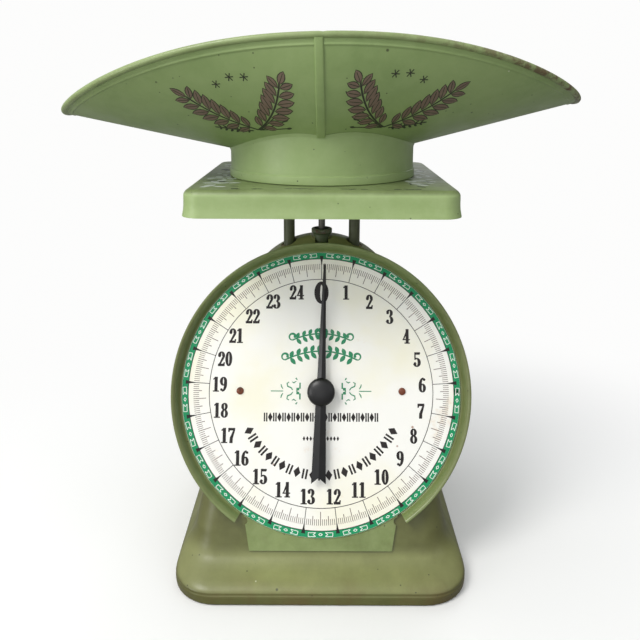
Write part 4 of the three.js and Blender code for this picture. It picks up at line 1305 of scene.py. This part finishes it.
def scoop_rim():
    """The rolled rim bead, pinched where its two lengths meet at the middle."""
    steps = 220
    half = [math.pi * (k / steps - 0.5) for k in range(steps + 1)]
    front = [scoop_point(rim_point(t)[0], -rim_point(t)[1], 0) for t in half]
    rear = [scoop_point(rim_point(t)[0], rim_point(t)[1], 0) for t in half[1:-1][::-1]]
    path = front + rear

    def size(i):
        return RIM_BEAD - (0.28 * MM if abs(path[i].x) < 0.4 * MM else 0)

    shape = wire(path, size, 20, loop=True)
    piece("rolled_rim", *shape, "scoop", "scoop_paint", rim_paint, 50, ["scoop_rim"])


def foot_ring():
    """A round foot with a hemmed bottom edge, soldered up against the sheet."""
    radius = 63.2 * MM
    sheet = 0.9 * MM
    bottom = ring_low
    steps = 240
    rings = []
    for k in range(steps):
        angle = TURN * k / steps
        x, y = radius * math.cos(angle), radius * math.sin(angle)
        under = KEEL_Z + KEEL_SLOPE * abs(x) + SCOOP_RADIUS - math.sqrt(SCOOP_RADIUS ** 2 - y * y)
        top = under + x * math.tan(SCOOP_TILT) - 0.55 * MM
        profile = [(radius - sheet, bottom), (radius + 0.6 * MM, bottom)]
        profile += [(radius + 0.9 * MM, bottom + 0.3 * MM), (radius + 0.9 * MM, bottom + 4.7 * MM)]
        profile += [(radius + 0.75 * MM, bottom + 5.2 * MM), (radius + 0.1 * MM, bottom + 5.6 * MM)]
        profile += [(radius, bottom + 6.2 * MM), (radius, top - 2.4 * MM), (radius + 0.15 * MM, top - 1.5 * MM)]
        profile += [(radius + 0.55 * MM, top - 0.7 * MM), (radius + 0.7 * MM, top), (radius - sheet, top)]
        rings.append([Vector((r * math.cos(angle), r * math.sin(angle), z)) for r, z in profile])
    shape = skin(rings, loop=True)
    piece("foot_band", *shape, "scoop", "scoop_paint", ring_paint, 40, ["foot_ring"])


def branch(base, tip, bend, pairs, leaf, width):
    """Pairs of oval leaves along a curved stem, as (leaves, stem)."""
    base, tip = Vector(base), Vector(tip)
    along = tip - base
    across = Vector((-along.y, along.x)).normalized()
    knee = (base + tip) / 2 + across * bend

    def at(t):
        return base * (1 - t) ** 2 + knee * 2 * t * (1 - t) + tip * t * t

    leaves = []
    for k in range(pairs):
        t = 0.1 + 0.8 * k / (pairs - 1)
        root = at(t)
        ahead = (at(t + 0.01) - at(t - 0.01)).normalized()
        side = Vector((-ahead.y, ahead.x))
        reach = leaf * (0.65 + 0.35 * math.sin(math.pi * t))
        for way in (-1, 1):
            out = (ahead * 0.62 + side * way * 0.78) * reach
            leaves.append((root + out * 0.12, root + out, width * reach / leaf))
    leaves.append((at(0.97), tip + along.normalized() * leaf * 0.6, width * 0.8))
    stem = ribbon([tuple(at(k / 16)) for k in range(17)], 1.1)
    return leaves, stem


def asterisk(x, y, reach=2.6):
    shapes = []
    for k in range(3):
        turn = math.radians(20 + 60 * k)
        dx, dy = reach * math.cos(turn), reach * math.sin(turn)
        shapes += ribbon([(x - dx, y - dy), (x + dx, y + dy)], 0.62)
    return shapes


def spray():
    """Two leafy branches in a wide V with a sprig, thin stalks and three asterisks, in mm."""
    leaves = []
    stems = []
    for tip, bend, leaf in (((-80, 80), 6, 13), ((-23, 103), -6, 12)):
        found, stem = branch((-38, 63), tip, bend, 7, leaf, 4.6)
        leaves += found
        stems += stem
    brown = [almond(a, b, w) for a, b, w in leaves]
    dark = [almond(a - (b - a) * 0.05, b + (b - a) * 0.06, w + 1.2) for a, b, w in leaves]
    dark += stems + asterisk(-59.6, 93) + asterisk(-51.5, 99.5) + asterisk(-43, 101.5)
    sprig, stalk = branch((-41, 61), (-63, 56.5), 0.6, 6, 4.2, 1.7)
    dark += [almond(a, b, w) for a, b, w in sprig] + stalk
    for end in ((-23.5, 83), (-20, 77), (-18, 71)):
        dark += ribbon([(-37, 63), end], 0.7)
        dark.append(almond((end[0] - 2.6, end[1] - 1.4), (end[0] + 0.8, end[1] + 0.6), 1.7))
    ribs = []
    for a, b, _ in leaves:
        ribs += ribbon([tuple(a.lerp(b, q)) for q in (0.05, 0.25, 0.45, 0.65, 0.85)], 0.45)
    return brown, dark, ribs


def scoop_prints():
    brown, dark, ribs = spray()
    for word, mirror in (("left", False), ("right", True)):
        side = 1 if mirror else -1

        def place(x, across, out):
            return scoop_point(x * MM, -across * MM, SCOOP_SHEET + out, side)

        layers = [("leaf_outlines", dark, motif_dark, 0.05), ("leaves", brown, motif_brown, 0.09)]
        layers.append(("leaf_ribs", ribs, motif_dark, 0.13))
        for label, shapes, material, rise in layers:
            drawn = moved(shapes, mirror=mirror)
            name = f"{label}_{word}"
            printed(name, drawn, place, "scoop", "scoop_paint", material, rise * MM, grid=2.6)


def platform_prints():
    """Worn leaf marks along the platform's front edge and in its corners."""
    chance = random.Random(11)
    dark = []
    pale = []
    for k in range(-5, 6):
        x = k * 11 + chance.uniform(-2, 2)
        if abs(k) in (0, 3):
            continue
        for _ in range(3):
            dx = chance.uniform(-4.5, 4.5)
            start = (x + dx, -74.5 + chance.uniform(-0.8, 0.8))
            end = (start[0] + chance.uniform(3, 6), start[1] + chance.uniform(-1, 1))
            dark.append(almond(start, end, 1.5))
    for side in (-1, 1):
        for k in range(64):
            start = (side * chance.uniform(55, 73), chance.uniform(-68, 60))
            turn = chance.uniform(0, TURN)
            reach = chance.uniform(5, 10)
            end = (start[0] + reach * math.cos(turn), start[1] + reach * math.sin(turn))
            if max(abs(end[0]), abs(end[1])) < 76:
                (pale if k % 3 else dark).append(almond(start, end, reach * (0.5 if k % 3 else 0.26)))

    def place(x, y, out):
        return Vector((x * MM, y * MM, platform_top + out))

    for label, shapes, material, rise in (("pale", pale, worn_pale, 0.04), ("dark", dark, worn_dark, 0.07)):
        name = "platform_marks_" + label
        printed(name, shapes, place, "platform_frame", "platform_paint", material, rise * MM)


case()
case_rivets()
front_plate()
dial()
dial_printing()
pointer()
hub()
posts()
zero_nut()
platform()
platform_prints()
scoop_half("left", -1)
scoop_half("right", 1)
seam_strip()
scoop_rim()
foot_ring()
scoop_prints()

# ------------------------------------------------------------------ stage, light and camera
def floor():
    """A wide pale floor that fades into the pale surroundings and throws little light back."""
    look = Look("pale_floor")
    path = look.nodes.new("ShaderNodeLightPath")
    colour = look.blend(path.outputs["Is Camera Ray"], (0.3, 0.3, 0.29), (0.9, 0.9, 0.89))
    look.feed(look.shader.inputs["Base Color"], colour)
    look.shader.inputs["Roughness"].default_value = 0.9
    look.shader.inputs["Specular IOR Level"].default_value = 0.1
    mesh = bpy.data.meshes.new("floor")
    work = bmesh.new()
    bmesh.ops.create_circle(work, cap_ends=True, segments=96, radius=8.0)
    work.to_mesh(mesh)
    work.free()
    made = bpy.data.objects.new("floor", mesh)
    bpy.context.scene.collection.objects.link(made)
    distance = look.nodes.new("ShaderNodeVectorMath")
    distance.operation = "LENGTH"
    look.links.new(look.coords, distance.inputs[0])
    away = look.ramp(distance.outputs["Value"], 0.12, 0.5)
    shown = look.calc("MULTIPLY", away, path.outputs["Is Camera Ray"])
    glow = look.nodes.new("ShaderNodeEmission")
    glow.inputs["Color"].default_value = (*BACKGROUND, 1)
    mixed = look.nodes.new("ShaderNodeMixShader")
    look.links.new(shown, mixed.inputs["Fac"])
    look.links.new(look.shader.outputs["BSDF"], mixed.inputs[1])
    look.links.new(glow.outputs["Emission"], mixed.inputs[2])
    look.links.new(mixed.outputs["Shader"], look.nodes["Material Output"].inputs["Surface"])
    mesh.materials.append(look.material)
    made.location.z = -0.0002


BACKGROUND = (0.98, 0.98, 0.975)


def surroundings():
    """A pale room: even to the camera; as light, brighter above and to the left."""
    world = bpy.data.worlds.new("studio")
    bpy.context.scene.world = world
    world.use_nodes = True
    nodes, links = world.node_tree.nodes, world.node_tree.links
    coords = nodes.new("ShaderNodeTexCoord")
    towards = nodes.new("ShaderNodeVectorMath")
    towards.operation = "DOT_PRODUCT"
    towards.inputs[1].default_value = Vector((-0.45, -0.35, 0.82)).normalized()
    links.new(coords.outputs["Generated"], towards.inputs[0])
    level = nodes.new("ShaderNodeMapRange")
    level.inputs["From Min"].default_value = -0.6
    level.inputs["To Min"].default_value = 0.08
    level.inputs["To Max"].default_value = 0.95
    links.new(towards.outputs["Value"], level.inputs["Value"])
    back = nodes["Background"]
    back.inputs["Color"].default_value = (0.96, 0.98, 1.0, 1)
    links.new(level.outputs["Result"], back.inputs["Strength"])
    seen = nodes.new("ShaderNodeBackground")
    seen.inputs["Color"].default_value = (*BACKGROUND, 1)
    path = nodes.new("ShaderNodeLightPath")
    mixed = nodes.new("ShaderNodeMixShader")
    links.new(path.outputs["Is Camera Ray"], mixed.inputs["Fac"])
    links.new(back.outputs["Background"], mixed.inputs[1])
    links.new(seen.outputs["Background"], mixed.inputs[2])
    links.new(mixed.outputs["Shader"], nodes["World Output"].inputs["Surface"])


def area_light(name, place, aim, size, power, colour=(1, 1, 1)):
    data = bpy.data.lights.new(name, "AREA")
    data.shape = "DISK"
    data.size = size
    data.energy = power
    data.color = colour
    made = bpy.data.objects.new(name, data)
    made.location = place
    made.rotation_euler = (Vector(aim) - Vector(place)).to_track_quat("-Z", "Y").to_euler()
    bpy.context.scene.collection.objects.link(made)


def camera():
    """A close view from a little above; the view is raised without tilting, as in the photo."""
    data = bpy.data.cameras.new("camera")
    made = bpy.data.objects.new("camera", data)
    bpy.context.scene.collection.objects.link(made)
    data.sensor_width = 36
    data.lens = 38.67
    data.shift_x = -0.0028
    down = math.radians(11.5)
    roll = math.radians(0.24)
    made.location = (0, CAMERA_Y, 0.3268)
    turn = Matrix.Rotation(math.pi / 2 - down, 4, "X") @ Matrix.Rotation(roll, 4, "Z")
    made.rotation_euler = turn.to_euler()
    bpy.context.scene.camera = made
    driver = data.driver_add("shift_y").driver
    driver.type = "SCRIPTED"
    reading = driver.variables.new()
    reading.name = "y"
    reading.type = "SINGLE_PROP"
    reading.targets[0].id_type = "OBJECT"
    reading.targets[0].id = made
    reading.targets[0].data_path = "location[1]"
    driver.expression = f"{VIEW_SHIFT} if abs(y - {CAMERA_Y}) < 0.001 else 0"


CAMERA_Y = -0.4818
VIEW_SHIFT = -0.1456

floor()
surroundings()
area_light("key", (-0.75, -0.8, 1.45), (0, 0, 0.15), 0.7, 14.5, (1.0, 0.98, 0.95))
area_light("front", (-0.1, -1.5, 0.35), (0, 0, 0.2), 1.0, 1.3)
area_light("low_left", (-1.2, -0.9, 0.3), (0, 0, 0.25), 0.6, 3.5)
area_light("fill", (1.3, -0.9, 0.8), (0, 0, 0.2), 1.0, 1.2)
area_light("back", (0.4, 1.2, 1.1), (0, 0, 0.2), 1.0, 4)
camera()
bpy.context.scene.view_settings.view_transform = "Standard"

# ------------------------------------------------------------------ every CAD node's own finish
finish_of_slot = {
    "case_paint": case_paint,
    "platform_paint": platform_paint,
    "scoop_paint": scoop_paint,
    "steel": steel,
    "rusty_steel": rusty_steel,
    "brass": brass,
    "spring_steel": dark_steel,
    "dial_enamel": dial_enamel,
    "black_paint": black_paint,
}
for entry in frame["record"]["subparts"]:
    node = frame["nodes"][entry["node"]]
    node.data.materials.clear()
    node.data.materials.append(finish_of_slot[entry["material_slot"]])
